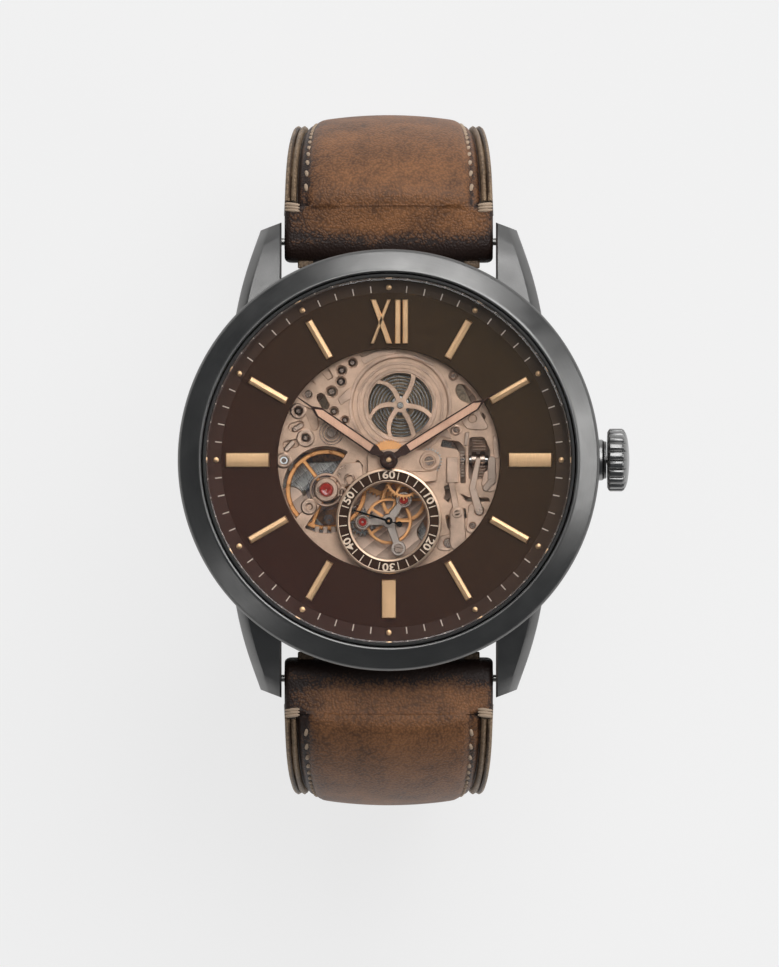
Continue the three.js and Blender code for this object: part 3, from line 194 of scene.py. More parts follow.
def brushing_group():
    """Fine brushed lines: straight along Y or round an upright axis, as Around goes from 0 to 1."""
    group, given, result = effect(
        "Brushed lines",
        [("Around", "Float", 1.0), ("Lines per mm", "Float", 12.0), ("Depth", "Float", 0.3),
         ("Centre", "Vector", (0, 0, 0)), ("Colour", "Color", (0.5, 0.5, 0.5, 1)),
         ("Contrast", "Float", 0.2)],
        [("Colour", "Color"), ("Roughness", "Float"), ("Normal", "Vector")])
    place = wire(group, "ShaderNodeTexCoord").outputs["Object"]
    mm = wire(group, "ShaderNodeVectorMath", {0: place, 1: (1000, 1000, 1000)}, operation="MULTIPLY")
    off = wire(group, "ShaderNodeVectorMath", {0: mm.outputs[0], 1: given["Centre"]}, operation="SUBTRACT")
    part = wire(group, "ShaderNodeSeparateXYZ", {0: off.outputs[0]})
    flat = wire(group, "ShaderNodeCombineXYZ", {0: part.outputs[0], 1: part.outputs[1]})
    radius = wire(group, "ShaderNodeVectorMath", {0: flat.outputs[0]}, operation="LENGTH").outputs["Value"]
    angle = wire(group, "ShaderNodeMath", {0: part.outputs[1], 1: part.outputs[0]},
                 operation="ARCTAN2").outputs[0]
    sweep = wire(group, "ShaderNodeMath", {0: angle, 1: 1.6}, operation="MULTIPLY").outputs[0]
    ringwise = wire(group, "ShaderNodeCombineXYZ", {0: radius, 1: sweep, 2: part.outputs[2]})
    stretch = wire(group, "ShaderNodeVectorMath", {0: off.outputs[0], 1: (1, 0.06, 1)}, operation="MULTIPLY")
    lay = wire(group, "ShaderNodeMix",
               {"Factor": given["Around"], "A": stretch.outputs[0], "B": ringwise.outputs[0]},
               data_type="VECTOR")
    fine = wire(group, "ShaderNodeTexNoise", {"Vector": lay.outputs["Result"], "Scale": given["Lines per mm"],
                                              "Detail": 3.0, "Roughness": 0.6})
    stain = wire(group, "ShaderNodeTexNoise", {"Vector": off.outputs[0], "Scale": 0.35, "Detail": 4.0})
    dark = wire(group, "ShaderNodeMix", {"Factor": given["Contrast"], "A": given["Colour"],
                                         "B": (0.02, 0.02, 0.02, 1)}, data_type="RGBA")
    tone = wire(group, "ShaderNodeMix", {"Factor": fine.outputs["Fac"], "A": dark.outputs["Result"],
                                         "B": given["Colour"]}, data_type="RGBA")
    rough = wire(group, "ShaderNodeMapRange",
                 {"Value": stain.outputs["Fac"], "From Min": 0.3, "From Max": 0.7,
                                               "To Min": 0.85, "To Max": 1.15})
    bump = wire(group, "ShaderNodeBump", {"Height": fine.outputs["Fac"], "Strength": given["Depth"],
                                          "Distance": 0.00002})
    group.links.new(tone.outputs["Result"], result["Colour"])
    group.links.new(rough.outputs["Result"], result["Roughness"])
    group.links.new(bump.outputs["Normal"], result["Normal"])
    return group


BRUSHED = brushing_group()


def brushed(name, colour, roughness, around=1.0, lines=12.0, depth=0.3, contrast=0.25, centre=(0, 0), **more):
    """Brushed metal in the given colour."""
    material, tree, bsdf = shader(name, colour, roughness, 1.0, **more)
    lines_in = wire(tree, "ShaderNodeGroup", node_tree=BRUSHED)
    for key, value in {"Around": around, "Lines per mm": lines, "Depth": depth, "Contrast": contrast,
                       "Centre": (*centre, 0), "Colour": (*colour, 1)}.items():
        lines_in.inputs[key].default_value = value
    scaled = wire(tree, "ShaderNodeMath", {0: lines_in.outputs["Roughness"], 1: roughness},
                  operation="MULTIPLY")
    tree.links.new(lines_in.outputs["Colour"], bsdf.inputs["Base Color"])
    tree.links.new(scaled.outputs[0], bsdf.inputs["Roughness"])
    tree.links.new(lines_in.outputs["Normal"], bsdf.inputs["Normal"])
    return material


GUNMETAL = (0.23, 0.228, 0.225)
case_side = brushed("gunmetal_turned", GUNMETAL, 0.36, lines=9.0, depth=0.35)
lug_brushed = brushed("gunmetal_lengthwise", (0.2, 0.198, 0.195), 0.4, around=0.0, lines=14.0, depth=0.45)

CASE_R = 21
case_ring = turned(eased([(19.6, 1.4), (20.3, 1.4), (CASE_R, 2.2), (CASE_R, 8.6), (20.7, 9.2), (19.6, 9.2)],
                         0.15))
LUG_IN = 11.2
LUG_TIP = 24.8
lug_top = [(12, 9.3), (15.5, 9.15), (18.5, 8.3), (21.5, 6.8), (23.6, 5.4), (LUG_TIP, 4.3)]
lug_under = [(12, 1.4), (17.6, 1.4), (19.4, 1.0), (22, 0.3), (23.9, 0.25), (LUG_TIP, 1.2)]


def along(table, at):
    """The value between the rows of a table of (place, value)."""
    for (a, va), (b, vb) in zip(table, table[1:]):
        if at <= b:
            return va + (vb - va) * max(0.0, (at - a) / (b - a))
    return table[-1][1]


def lug(sx, sy):
    """One lug, a loft of chamfered sections from the case out to its slanted tip."""
    rings = []
    for i in range(25):
        t = i / 24
        y = 12 + (LUG_TIP - 12) * t
        slant = 0.375 * t ** 3  # the tip slopes back towards its outer corner
        low, high = along(lug_under, y), along(lug_top, y)
        out = 16.55 - 0.24 * (y - 12) + 0.35 * math.sin(math.pi * t) - 0.1
        c = 0.32
        section = [(LUG_IN, low + c), (LUG_IN + c, low), (out - c, low), (out, low + c),
                   (out, high - 1.1 - c), (out - 0.12, high - 1.1), (out - 0.75, high - 0.15),
                   (out - 1.0, high),
                   (LUG_IN + 0.18, high), (LUG_IN, high - 0.18)]
        rings.append([(sx * x, sy * (y - slant * (x - LUG_IN)), z) for x, z in section])
    return loft(rings)


piece("middle_case_ring", [case_ring], case_side, "case_and_strap", ["middle_case"])
for number, (sx, sy) in enumerate([(1, 1), (-1, 1), (-1, -1), (1, -1)], 1):
    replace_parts(piece(f"lug_{number}", [lug(sx, sy)], lug_brushed, "case_and_strap",
                      sharp=24),
                "middle_case")

# ------------------------------------------------------------------ spring bars
# Hardened steel bars between the lugs: a tube with a turned shoulder and a sprung tip at each end.
bar_steel = brushed("spring_bar_steel", (0.5, 0.49, 0.47), 0.3, lines=10.0)
UP_TO_X = Matrix.Rotation(math.radians(90), 4, "Y")  # an upright turned piece laid along X


def spring_bar(y, half, r, tip, tip_r):
    """A bar along X at a distance y from the middle."""
    profile = [(0, -tip), (tip_r, -tip + 0.1), (tip_r, -half), (r, -half), (r, -half + 0.6),
               (r * 0.72, -half + 0.7),
               (r * 0.72, -half + 1.1), (r, -half + 1.2)]
    profile = profile + [(radius, -h) for radius, h in reversed(profile)]
    return moved(turned(profile, 24), Matrix.Translation((0, y, 0)) @ UP_TO_X)


BAR_Y = 22.8
BAR_H = 3
for name, y in (("spring_bar_12", BAR_Y), ("spring_bar_6", -BAR_Y)):
    piece(name + "_turned", [spring_bar(y, 10.9, 0.75, 11.9, 0.38)], bar_steel, "case_and_strap", [name],
          lift=CASE_BACK + BAR_H)

# ------------------------------------------------------------------ bezel
# A plated steel ring pressed on the case. Its face slopes up to the crystal and is brushed round.
bezel_face = brushed("gunmetal_bezel", (0.21, 0.208, 0.204), 0.34, lines=7.0, depth=0.3, contrast=0.15)
bezel_profile = [(19.45, 9.25), (21.2, 9.25), (21.95, 9.85), (22, 10.2), (21.75, 10.5), (19.95, 11.62),
                 (19.72, 11.7), (19.5, 11.6)]
piece("bezel_turned", [turned(eased(bezel_profile, 0.12, 3), 256)], bezel_face, "case_and_strap", ["bezel"])

# ------------------------------------------------------------------ crystal and its gasket
# Slightly domed mineral glass with a bevelled edge, held in the bezel by a black ring gasket.
glass, glass_tree, glass_bsdf = shader(
    "mineral_glass", (0.97, 0.98, 0.98), 0.015, IOR=1.45, Transmission_Weight=1.0)


def clear_shadow(tree, bsdf):
    """Light reaches what lies under the glass without being bent."""
    clear = wire(tree, "ShaderNodeBsdfTransparent", {"Color": (0.97, 0.98, 0.98, 1)})
    path = wire(tree, "ShaderNodeLightPath")
    mix = wire(tree, "ShaderNodeMixShader", {0: path.outputs["Is Shadow Ray"], 1: bsdf.outputs[0],
                                             2: clear.outputs[0]})
    tree.links.new(mix.outputs[0], tree.nodes["Material Output"].inputs["Surface"])


clear_shadow(glass_tree, glass_bsdf)
smudge = wire(glass_tree, "ShaderNodeTexNoise", {"Scale": 90.0, "Detail": 5.0})
smudge_range = wire(glass_tree, "ShaderNodeMapRange", {"Value": smudge.outputs["Fac"], "From Min": 0.45,
                                                      "From Max": 0.8, "To Min": 0.008, "To Max": 0.03})
glass_tree.links.new(smudge_range.outputs["Result"], glass_bsdf.inputs["Roughness"])
CRYSTAL_R = 19
crystal_profile = [(0, 11), (CRYSTAL_R - 0.1, 11), (CRYSTAL_R, 11.1), (CRYSTAL_R, 12.15), (18.88, 12.28),
                   (18.75, 12.31), (14, 12.5), (8, 12.58), (0, 12.6)]
piece("crystal_domed", [turned(crystal_profile, 256)], glass, "case_and_strap", ["crystal"],
      sharp=6)

rubber, rubber_tree, rubber_bsdf = shader("black_rubber", (0.012, 0.012, 0.012), 0.62)
dust = wire(rubber_tree, "ShaderNodeTexNoise", {"Scale": 900.0, "Detail": 4.0})
dust_tone = wire(rubber_tree, "ShaderNodeMix", {"Factor": dust.outputs["Fac"], "A": (0.008, 0.008, 0.008, 1),
                                               "B": (0.03, 0.029, 0.028, 1)}, data_type="RGBA")
rubber_tree.links.new(dust_tone.outputs["Result"], rubber_bsdf.inputs["Base Color"])
dust_bump = wire(rubber_tree, "ShaderNodeBump",
                 {"Height": dust.outputs["Fac"], "Strength": 0.3, "Distance": 0.00003})
rubber_tree.links.new(dust_bump.outputs["Normal"], rubber_bsdf.inputs["Normal"])
piece("crystal_gasket_ring", [turned(eased([(19.05, 11), (19.4, 11), (19.4, 11.65), (19.05, 11.65)], 0.12))],
      rubber,
      "case_and_strap", ["crystal_gasket"])

# ------------------------------------------------------------------ case back
# A steel ring pressed into the case, brushed round, with a flat glass window over the rotor.
back_face = brushed("gunmetal_back", (0.3, 0.298, 0.295), 0.34, lines=10.0, depth=0.3)
back_profile = [(13.6, 0), (20.3, 0), (20.5, 1.35), (19.3, 1.35), (19.3, 2.6), (17, 2.6), (14.65, 1.35),
                (14.65, 0.45), (13.6, 0.45)]


def back_notches():
    """Six shallow key marks round the ring, for the case opener."""
    marks = []
    for i in range(6):
        a = math.radians(60 * i + 30)
        half = 0.9
        ring = [(17.6, -half), (19.2, -half), (19.2, half), (17.6, half)]
        turn = Matrix.Rotation(a, 4, "Z")
        low = [tuple(turn @ Vector((x, y, -0.06))) for x, y in ring]
        high = [tuple(turn @ Vector((x, y, 0.1))) for x, y in ring]
        marks.append(loft([low, high]))
    return marks


piece("case_back_turned", [turned(eased(back_profile, 0.12))], back_face, "case_and_strap",
      ["case_back_ring"])
key_mark = brushed("key_mark_black", (0.05, 0.05, 0.05), 0.5)
piece("case_back_key_marks", back_notches(), key_mark, "case_and_strap")
piece("case_back_window", [turned([(0, 0.5), (14.5, 0.5), (14.6, 0.6), (14.6, 1.5), (0, 1.5)])], glass,
      "case_and_strap", ["case_back_glass"])
piece("case_back_seal", [turned(eased([(19.35, 1.5), (19.55, 1.5), (19.55, 2), (19.35, 2)], 0.08), 96)],
      rubber,
      "case_and_strap", ["case_back_gasket"])

# ------------------------------------------------------------------ crown, tube and stem
# The tube is pressed into the case; the fluted crown screws on the winding stem, which runs in
# the tube through a rubber washer. Pulling the crown lets the stem set the hands.
STEM_LIFT = CASE_BACK + 6.1
crown_steel = brushed("gunmetal_crown", (0.3, 0.298, 0.295), 0.3, lines=8.0, depth=0.2)
tube_profile = eased([(0.76, 19.7), (1.5, 19.7), (1.5, 21.1), (2.14, 21.1), (2.14, 22.3), (1.95, 22.45),
                      (1.95, 22.7), (0.76, 22.7)], 0.1)
piece("crown_tube_turned", [moved(turned(tube_profile, 64), UP_TO_X)], crown_steel, "case_and_strap",
      ["crown_tube"],
      lift=STEM_LIFT)

CROWN_R = 3.3
FLUTES = 20


def crown_skin():
    """Rounded flutes that run out into a domed end."""
    stations = [(22.78, 2.4, 0.0), (22.8, 2.9, 0.0), (22.95, CROWN_R - 0.12, 0.6), (23.1, CROWN_R, 1.0),
                (24.3, CROWN_R, 1.0), (24.52, CROWN_R - 0.12, 0.8), (24.68, CROWN_R - 0.4, 0.2),
                (24.76, 2.75, 0.0),
                (24.9, 2.3, 0.0), (25.02, 1.5, 0.0), (25.1, 0.5, 0.0)]
    rings = []
    for x, r, flute in stations:
        ring = []
        for i in range(FLUTES * 12):
            a = 2 * math.pi * i / (FLUTES * 12)
            wave = abs(math.sin(a * FLUTES / 2))  # round valleys between broad lands
            depth = 0.34 * flute * (1 - wave) ** 2
            ring.append((x, (r - depth) * math.cos(a), (r - depth) * math.sin(a)))
        rings.append(ring)
    return loft(rings)


piece("crown_fluted", [crown_skin()], crown_steel, "crown_and_stem", ["crown"], lift=STEM_LIFT)
stem_steel = brushed("stem_steel", (0.6, 0.59, 0.57), 0.22, around=0.0, lines=10.0, depth=0.15)
stem_profile = [(0, 5.6), (0.25, 5.65), (0.3, 7.7), (0.5, 7.75), (0.5, 10.3), (0.3, 10.35), (0.3, 11.05),
                (0.5, 11.1),
                (0.5, 20.6), (0.3, 20.65), (0.3, 21.35), (0.4, 21.4), (0.4, 23.9), (0, 23.9)]
piece("winding_stem_turned", [moved(turned(stem_profile, 32), UP_TO_X)], stem_steel, "crown_and_stem",
      ["winding_stem"], lift=STEM_LIFT)
washer = [(0.36, 20.7), (0.7, 20.7), (0.7, 21.3), (0.36, 21.3)]
piece("crown_washer", [moved(turned(eased(washer, 0.1), 48), UP_TO_X)], rubber, "crown_seal",
      ["crown_gasket"],
      lift=STEM_LIFT)

# ------------------------------------------------------------------ movement holder
# A black moulded ring that fills the space between the movement and the case.
holder, holder_tree, holder_bsdf = shader("black_moulding", (0.02, 0.019, 0.018), 0.55)
grain = wire(holder_tree, "ShaderNodeTexNoise", {"Scale": 4000.0, "Detail": 3.0})
grain_bump = wire(holder_tree, "ShaderNodeBump", {"Height": grain.outputs["Fac"], "Strength": 0.25,
                                                 "Distance": 0.00003})
holder_tree.links.new(grain_bump.outputs["Normal"], holder_bsdf.inputs["Normal"])
holder_profile = [(13.1, 3.25), (16.6, 3.2), (19.5, 4.2), (19.5, 9.05), (13.1, 9.05)]
piece("movement_holder_ring", [turned(eased(holder_profile, 0.2), 128)], holder, "case_and_strap",
      ["movement_holder"])

# ------------------------------------------------------------------ main plate
# The rose-plated brass plate on which the whole movement is built. It is milled from one disc:
# frosted on top, pierced with windows, stepped round the barrel, with every edge chamfered bright.
CENTRE = (0, 0)
BARREL = (1.2, 5.7)
THIRD = (1.56, -4.13)
FOURTH = (0, -6.34)
ESCAPE = (-2.72, -6.45)
PALLET = (-4.18, -5.156)
BALANCE = (-6.5, -3.1)
MINUTE_WHEEL = (1.6, -2.05)
SETTING_WHEEL = (4.2, -0.1)
CROWN_WHEEL = (4.53, 0)
PLATE_R = 12.95
PLATE_TOP = 8.1


def arc(at, r, start, end, steps):
    """Points along an arc, angles in degrees."""
    return [(at[0] + r * math.cos(math.radians(start + (end - start) * i / steps)),
             at[1] + r * math.sin(math.radians(start + (end - start) * i / steps))) for i in range(steps + 1)]


def disc(at, r, steps=48):
    return arc(at, r, 0, 360, steps)[:-1]


def bar(a, b, r, steps=10):
    """A straight slot or bar with round ends."""
    turn = math.degrees(math.atan2(b[1] - a[1], b[0] - a[0]))
    return arc(b, r, turn - 90, turn + 90, steps) + arc(a, r, turn + 90, turn + 270, steps)


def soft(points, size, steps=3):
    """An outline with rounded corners."""
    shifted = eased([(x + 100, y) for x, y in points], size, steps)  # clear of the turning axis
    return [(x - 100, y) for x, y in shifted]


def sheet(outlines, low, high, chamfer=0.05):
    """Flat metal cut to its outlines, holes among them, with both edges chamfered."""
    curve = bpy.data.curves.new("outline", "CURVE")
    curve.dimensions = "2D"
    curve.fill_mode = "BOTH"
    curve.extrude = (high - low) / 2 - chamfer
    curve.bevel_depth = chamfer
    curve.bevel_resolution = 0
    curve.offset = -chamfer
    for outline in outlines:
        spline = curve.splines.new("POLY")
        spline.points.add(len(outline) - 1)
        for point, (x, y) in zip(spline.points, outline):
            point.co = (x, y, 0, 1)
        spline.use_cyclic_u = True
    obj = bpy.data.objects.new("outline", curve)
    bpy.context.scene.collection.objects.link(obj)
    shape = bpy.data.meshes.new_from_object(obj.evaluated_get(bpy.context.evaluated_depsgraph_get()))
    verts = [(v.co.x, v.co.y, v.co.z + (low + high) / 2) for v in shape.vertices]
    faces = [tuple(p.vertices) for p in shape.polygons]
    bpy.data.objects.remove(obj)
    bpy.data.curves.remove(curve)
    bpy.data.meshes.remove(shape)
    return verts, faces


def frosting_group():
    """Fine sand-blasted grain with faint stains, for plated plates."""
    group, given, result = effect(
        "Frosted plating", [("Colour", "Color", (0.5, 0.4, 0.3, 1)), ("Roughness", "Float", 0.4),
                            ("Depth", "Float", 0.2)],
        [("Colour", "Color"), ("Roughness", "Float"), ("Normal", "Vector")])
    place = wire(group, "ShaderNodeTexCoord").outputs["Object"]
    grain = wire(group, "ShaderNodeTexNoise", {"Vector": place, "Scale": 16000.0, "Detail": 2.0})
    cloud = wire(group, "ShaderNodeTexNoise",
                 {"Vector": place, "Scale": 420.0, "Detail": 5.0, "Roughness": 0.6})
    shade = wire(group, "ShaderNodeMapRange",
                 {"Value": cloud.outputs["Fac"], "From Min": 0.3, "From Max": 0.72,
                                               "To Min": 0.72, "To Max": 1.12})
    speck = wire(group, "ShaderNodeMapRange",
                 {"Value": grain.outputs["Fac"], "From Min": 0.3, "From Max": 0.7,
                                               "To Min": 0.88, "To Max": 1.08})
    level = wire(group, "ShaderNodeMath", {0: shade.outputs["Result"], 1: speck.outputs["Result"]},
                 operation="MULTIPLY")
    tone = wire(group, "ShaderNodeVectorMath", {0: given["Colour"], "Scale": level.outputs[0]},
                operation="SCALE")
    rough = wire(group, "ShaderNodeMath", {0: given["Roughness"], 1: shade.outputs["Result"]},
                 operation="MULTIPLY")
    bump = wire(group, "ShaderNodeBump", {"Height": grain.outputs["Fac"], "Strength": given["Depth"],
                                          "Distance": 0.00002})
    group.links.new(tone.outputs[0], result["Colour"])
    group.links.new(rough.outputs[0], result["Roughness"])
    group.links.new(bump.outputs["Normal"], result["Normal"])
    return group


FROSTED = frosting_group()


def frosted(name, colour, roughness, depth=0.2, metallic=1.0, **more):
    """Frosted, plated metal in the given colour."""
    material, tree, bsdf = shader(name, colour, roughness, metallic, **more)
    plating = wire(tree, "ShaderNodeGroup", node_tree=FROSTED)
    plating.inputs["Colour"].default_value = (*colour, 1)
    plating.inputs["Roughness"].default_value = roughness
    plating.inputs["Depth"].default_value = depth
    tree.links.new(plating.outputs["Colour"], bsdf.inputs["Base Color"])
    tree.links.new(plating.outputs["Roughness"], bsdf.inputs["Roughness"])
    tree.links.new(plating.outputs["Normal"], bsdf.inputs["Normal"])
    return material


ROSE = (0.66, 0.45, 0.33)
rose_plate = frosted("rose_frosted_plate", ROSE, 0.5)
rose_bright = frosted("rose_bright", (0.76, 0.53, 0.4), 0.36, 0.08)

BARREL_ARMS = [(110, 24), (58, 8), (-4, -16), (-60, -6), (-128, 20), (-184, 26)]  # degrees, and bend outward
ARM_HALF = 0.27


def barrel_windows(inner, outer):
    """Openings between the curved arms of the barrel's upper bearing."""
    windows = []
    for (a, bend_a), (b, bend_b) in zip(BARREL_ARMS,
                                        BARREL_ARMS[1:] + [(BARREL_ARMS[0][0] - 360, BARREL_ARMS[0][1])]):
        def side(degrees, bend, sign):
            edge = []
            for i in range(9):
                r = inner + (outer - inner) * i / 8
                turn = math.radians(degrees + bend * (i / 8) ** 2) + sign * math.asin(ARM_HALF / r)
                edge.append((BARREL[0] + r * math.cos(turn), BARREL[1] + r * math.sin(turn)))
            return edge
        first = side(a, bend_a, -1)
        second = side(b, bend_b, 1)
        start = a + bend_a - math.degrees(math.asin(ARM_HALF / outer))
        end = b + bend_b + math.degrees(math.asin(ARM_HALF / outer))
        rim = arc(BARREL, outer, start, end, 12)[1:-1]
        hub = arc(BARREL, inner, b + 20, a - 20, 3)[1:-1] if a - b > 45 else []
        windows.append(soft(first + rim + second[::-1] + hub, 0.1))
    return windows


def reach(at, angle, limits):
    """How far a ray from a point gets inside every ("in") and outside every ("out") circle."""
    far = limits[0]
    for centre, r, kind in limits[1:]:
        dx, dy = at[0] - centre[0], at[1] - centre[1]
        b = dx * math.cos(angle) + dy * math.sin(angle)
        c = dx * dx + dy * dy - r * r
        root = b * b - c
        if root > 0:
            hit = -b + math.sqrt(root) if kind == "in" else -b - math.sqrt(root)
            if hit > 0:
                far = min(far, hit)
    return far


def balance_windows(arms, inner, limits, half):
    """Openings round the balance, between the arms of its upper cock."""
    windows = []
    for a, b in zip(arms, arms[1:] + [arms[0] + 360]):
        steps = max(6, int((b - a) / 6))
        outer = []
        for i in range(steps + 1):
            t = i / steps
            r = 3.2
            lean = math.degrees(math.asin(half / r)) * (1 - 2 * t)
            angle = math.radians(a + (b - a) * t + lean)
            r = reach(BALANCE, angle, limits)
            outer.append((BALANCE[0] + r * math.cos(angle), BALANCE[1] + r * math.sin(angle)))
        lean = math.degrees(math.asin(half / inner))
        hub = arc(BALANCE, inner, b - min(lean, (b - a) / 2 - 1), a + min(lean, (b - a) / 2 - 1), 5)
        windows.append(soft(outer + hub, 0.12))
    return windows


BALANCE_ARMS = [-128, 24, 52]  # the cock's arms, degrees
BALANCE_LIMITS = [4.5, (CENTRE, 11.45, "in"), (FOURTH, 5.0, "out")]
balance_openings = balance_windows(BALANCE_ARMS, 1.25, BALANCE_LIMITS, 0.5)
PILLAR_HOLES = [(-3.79, 10.1, 0.42), (-4.9, 9.3, 0.42), (-4.98, 8.15, 0.45), (-5.94, 7.1, 0.5),
                (-8.38, 6.85, 0.38),
                (-9.4, 5.1, 0.42), (-8.65, 2.3, 0.42), (-10.9, -0.05, 0.4), (-5.7, 5.05, 0.38),
                (-4.55, 4.15, 0.34)]
stem_slot = soft([(8.35, -1.95), (10.5, -1.95), (10.5, 1.0), (9.9, 2.35), (8.5, 2.35), (8.35, 1.7)], 0.3)
crown_wheel_slot = soft([(7.45, -2.4), (7.95, -2.4), (7.95, 1.15), (7.3, 1.9), (5.6, 2.1), (5.4, 1.4),
                         (7.1, 1.15),
                         (7.45, 0.7)], 0.15)
upper_windows = [
    bar((-7.05, 6.5), (-6.6, 5.7), 0.42),
    soft([(7.15, 7.9), (7.9, 7.8), (9.15, 6.4), (8.6, 5.8), (7.35, 6.3), (6.95, 7.2)], 0.35),
    soft([(9.75, 4.9), (10.05, 4.4), (9.7, 3.95)], 0.1),
    soft([(5.75, -2.75), (6.6, -2.5), (6.85, -3.2), (6.2, -4.4), (5.7, -4.0), (5.95, -3.4)], 0.15),
    soft([(7.5, -3.55), (8.4, -3.95), (10.3, -3.95), (10.5, -4.3), (8.1, -4.3)], 0.08),
    bar((6.1, -5.9), (6.35, -7.0), 0.16),
    bar((7.85, -5.2), (7.95, -5.9), 0.13),
    soft([(-3.1, 2.1), (-1.5, 1.3), (-1.2, -0.5), (-1.7, -0.9), (-2.0, 0.6), (-3.2, 1.6)], 0.2),
]
STEP = 7.82  # the plate's lower level, inside the recesses
lower = [disc(CENTRE, PLATE_R, 160), *barrel_windows(0.75, 3.35), *balance_openings, disc(FOURTH, 4.15, 72),
         stem_slot, crown_wheel_slot, *upper_windows, *[disc((x, y), r, 24) for x, y, r in PILLAR_HOLES]]
# upper level: the same windows, but wide recesses where the lower level shows
recesses = [disc(BARREL, 4.93, 120),
            soft([(-8.85, 5.6), (-7.6, 5.1), (-7.25, 3.9), (-7.5, 3.1), (-7.9, 3.1), (-8.15, 3.7)], 0.2),
            bar((-10.0, 3.4), (-9.25, 3.65), 0.4),
            bar((-10.6, 1.55), (-9.7, 1.75), 0.38)]


def notched_rim():
    """The plate's upper outline, with the three bites at its upper left edge."""
    bites = [((-2.2, 11.9), 1.25), ((-6.7, 9.5), 1.2), ((-8.2, 8.55), 0.6)]
    outline = []
    for i in range(360):
        a = math.radians(i)
        r = 12.75
        for at, size in bites:
            if math.hypot(r * math.cos(a) - at[0], r * math.sin(a) - at[1]) < size or \
                    abs((math.degrees(math.atan2(at[1], at[0])) - i + 180) % 360 - 180) < 0.5:
                b = at[0] * math.cos(a) + at[1] * math.sin(a)
                root = b * b - at[0] ** 2 - at[1] ** 2 + size ** 2
                if root > 0:
                    r = min(r, b - math.sqrt(root))
        outline.append((r * math.cos(a), r * math.sin(a)))
    return outline


upper = [notched_rim(), *recesses, *balance_openings, disc(FOURTH, 4.5, 72),
         stem_slot, crown_wheel_slot, *upper_windows,
         *[disc((x, y), r + 0.1, 24) for x, y, r in PILLAR_HOLES]]
plate_rim = turned(eased([(12.2, 4.95), (12.9, 4.95), (PLATE_R, 5.0), (PLATE_R, 7.3), (12.2, 7.3)], 0.05),
                   128)
piece("main_plate_milled",
      [sheet(lower, 7.2, STEP, 0.04), sheet(upper, STEP - 0.01, PLATE_TOP, 0.07), plate_rim],
      rose_plate, "case_and_strap", ["main_plate"], sharp=20)

# ------------------------------------------------------------------ bosses, screws and jewels
# Raised bosses are left standing when the plate is milled. Rose-tinted steel screws with sawn slots
# hold the parts, and rubies, pressed into polished settings, carry the pivots.
screw_steel = brushed("screw_steel", (0.58, 0.44, 0.36), 0.25, lines=16.0, depth=0.15)


def boss(at, r, hole, low=PLATE_TOP - 0.02, high=PLATE_TOP + 0.22):
    """A chamfered round boss with a hole in it."""
    profile = [(hole, low), (r, low), (r, high - 0.09), (r - 0.12, high), (hole + 0.1, high),
               (hole, high - 0.08)]
    return turned(profile, 40, at)


def screw(at, r, high, slot_turn=30):
    """A countersunk screw head in two halves, with the slot between them."""
    slot_half = 0.11 * r + 0.02
    halves = []
    for side in (0, 180):
        lean = math.degrees(math.asin(slot_half / r))
        outline = arc(at, r, slot_turn + side + lean, slot_turn + side + 180 - lean, 14)
        halves.append(sheet([outline], high - 0.16, high, 0.045))
    return joined([turned([(0, high - 0.3), (r, high - 0.3), (r, high - 0.12), (0, high - 0.12)], 28, at),
                   *halves])


def jewel(at, r, high):
    """A ruby with an oil cup round its pivot hole."""
    return turned([(0.07, high - 0.3), (r, high - 0.3), (r, high - 0.06), (r - 0.07, high), (r * 0.55, high),
                   (0.12, high - 0.13), (0.07, high - 0.16)], 32, at)


ruby, ruby_tree, ruby_bsdf = shader("ruby", (0.42, 0.012, 0.015), 0.08, Coat_Weight=0.6, Coat_Roughness=0.03,
                                    IOR=1.76)
fire = wire(ruby_tree, "ShaderNodeTexNoise", {"Scale": 2500.0, "Detail": 3.0})
fire_tone = wire(ruby_tree, "ShaderNodeMix", {"Factor": fire.outputs["Fac"], "A": (0.14, 0.003, 0.008, 1),
                                             "B": (0.5, 0.04, 0.02, 1)}, data_type="RGBA")
ruby_tree.links.new(fire_tone.outputs["Result"], ruby_bsdf.inputs["Base Color"])

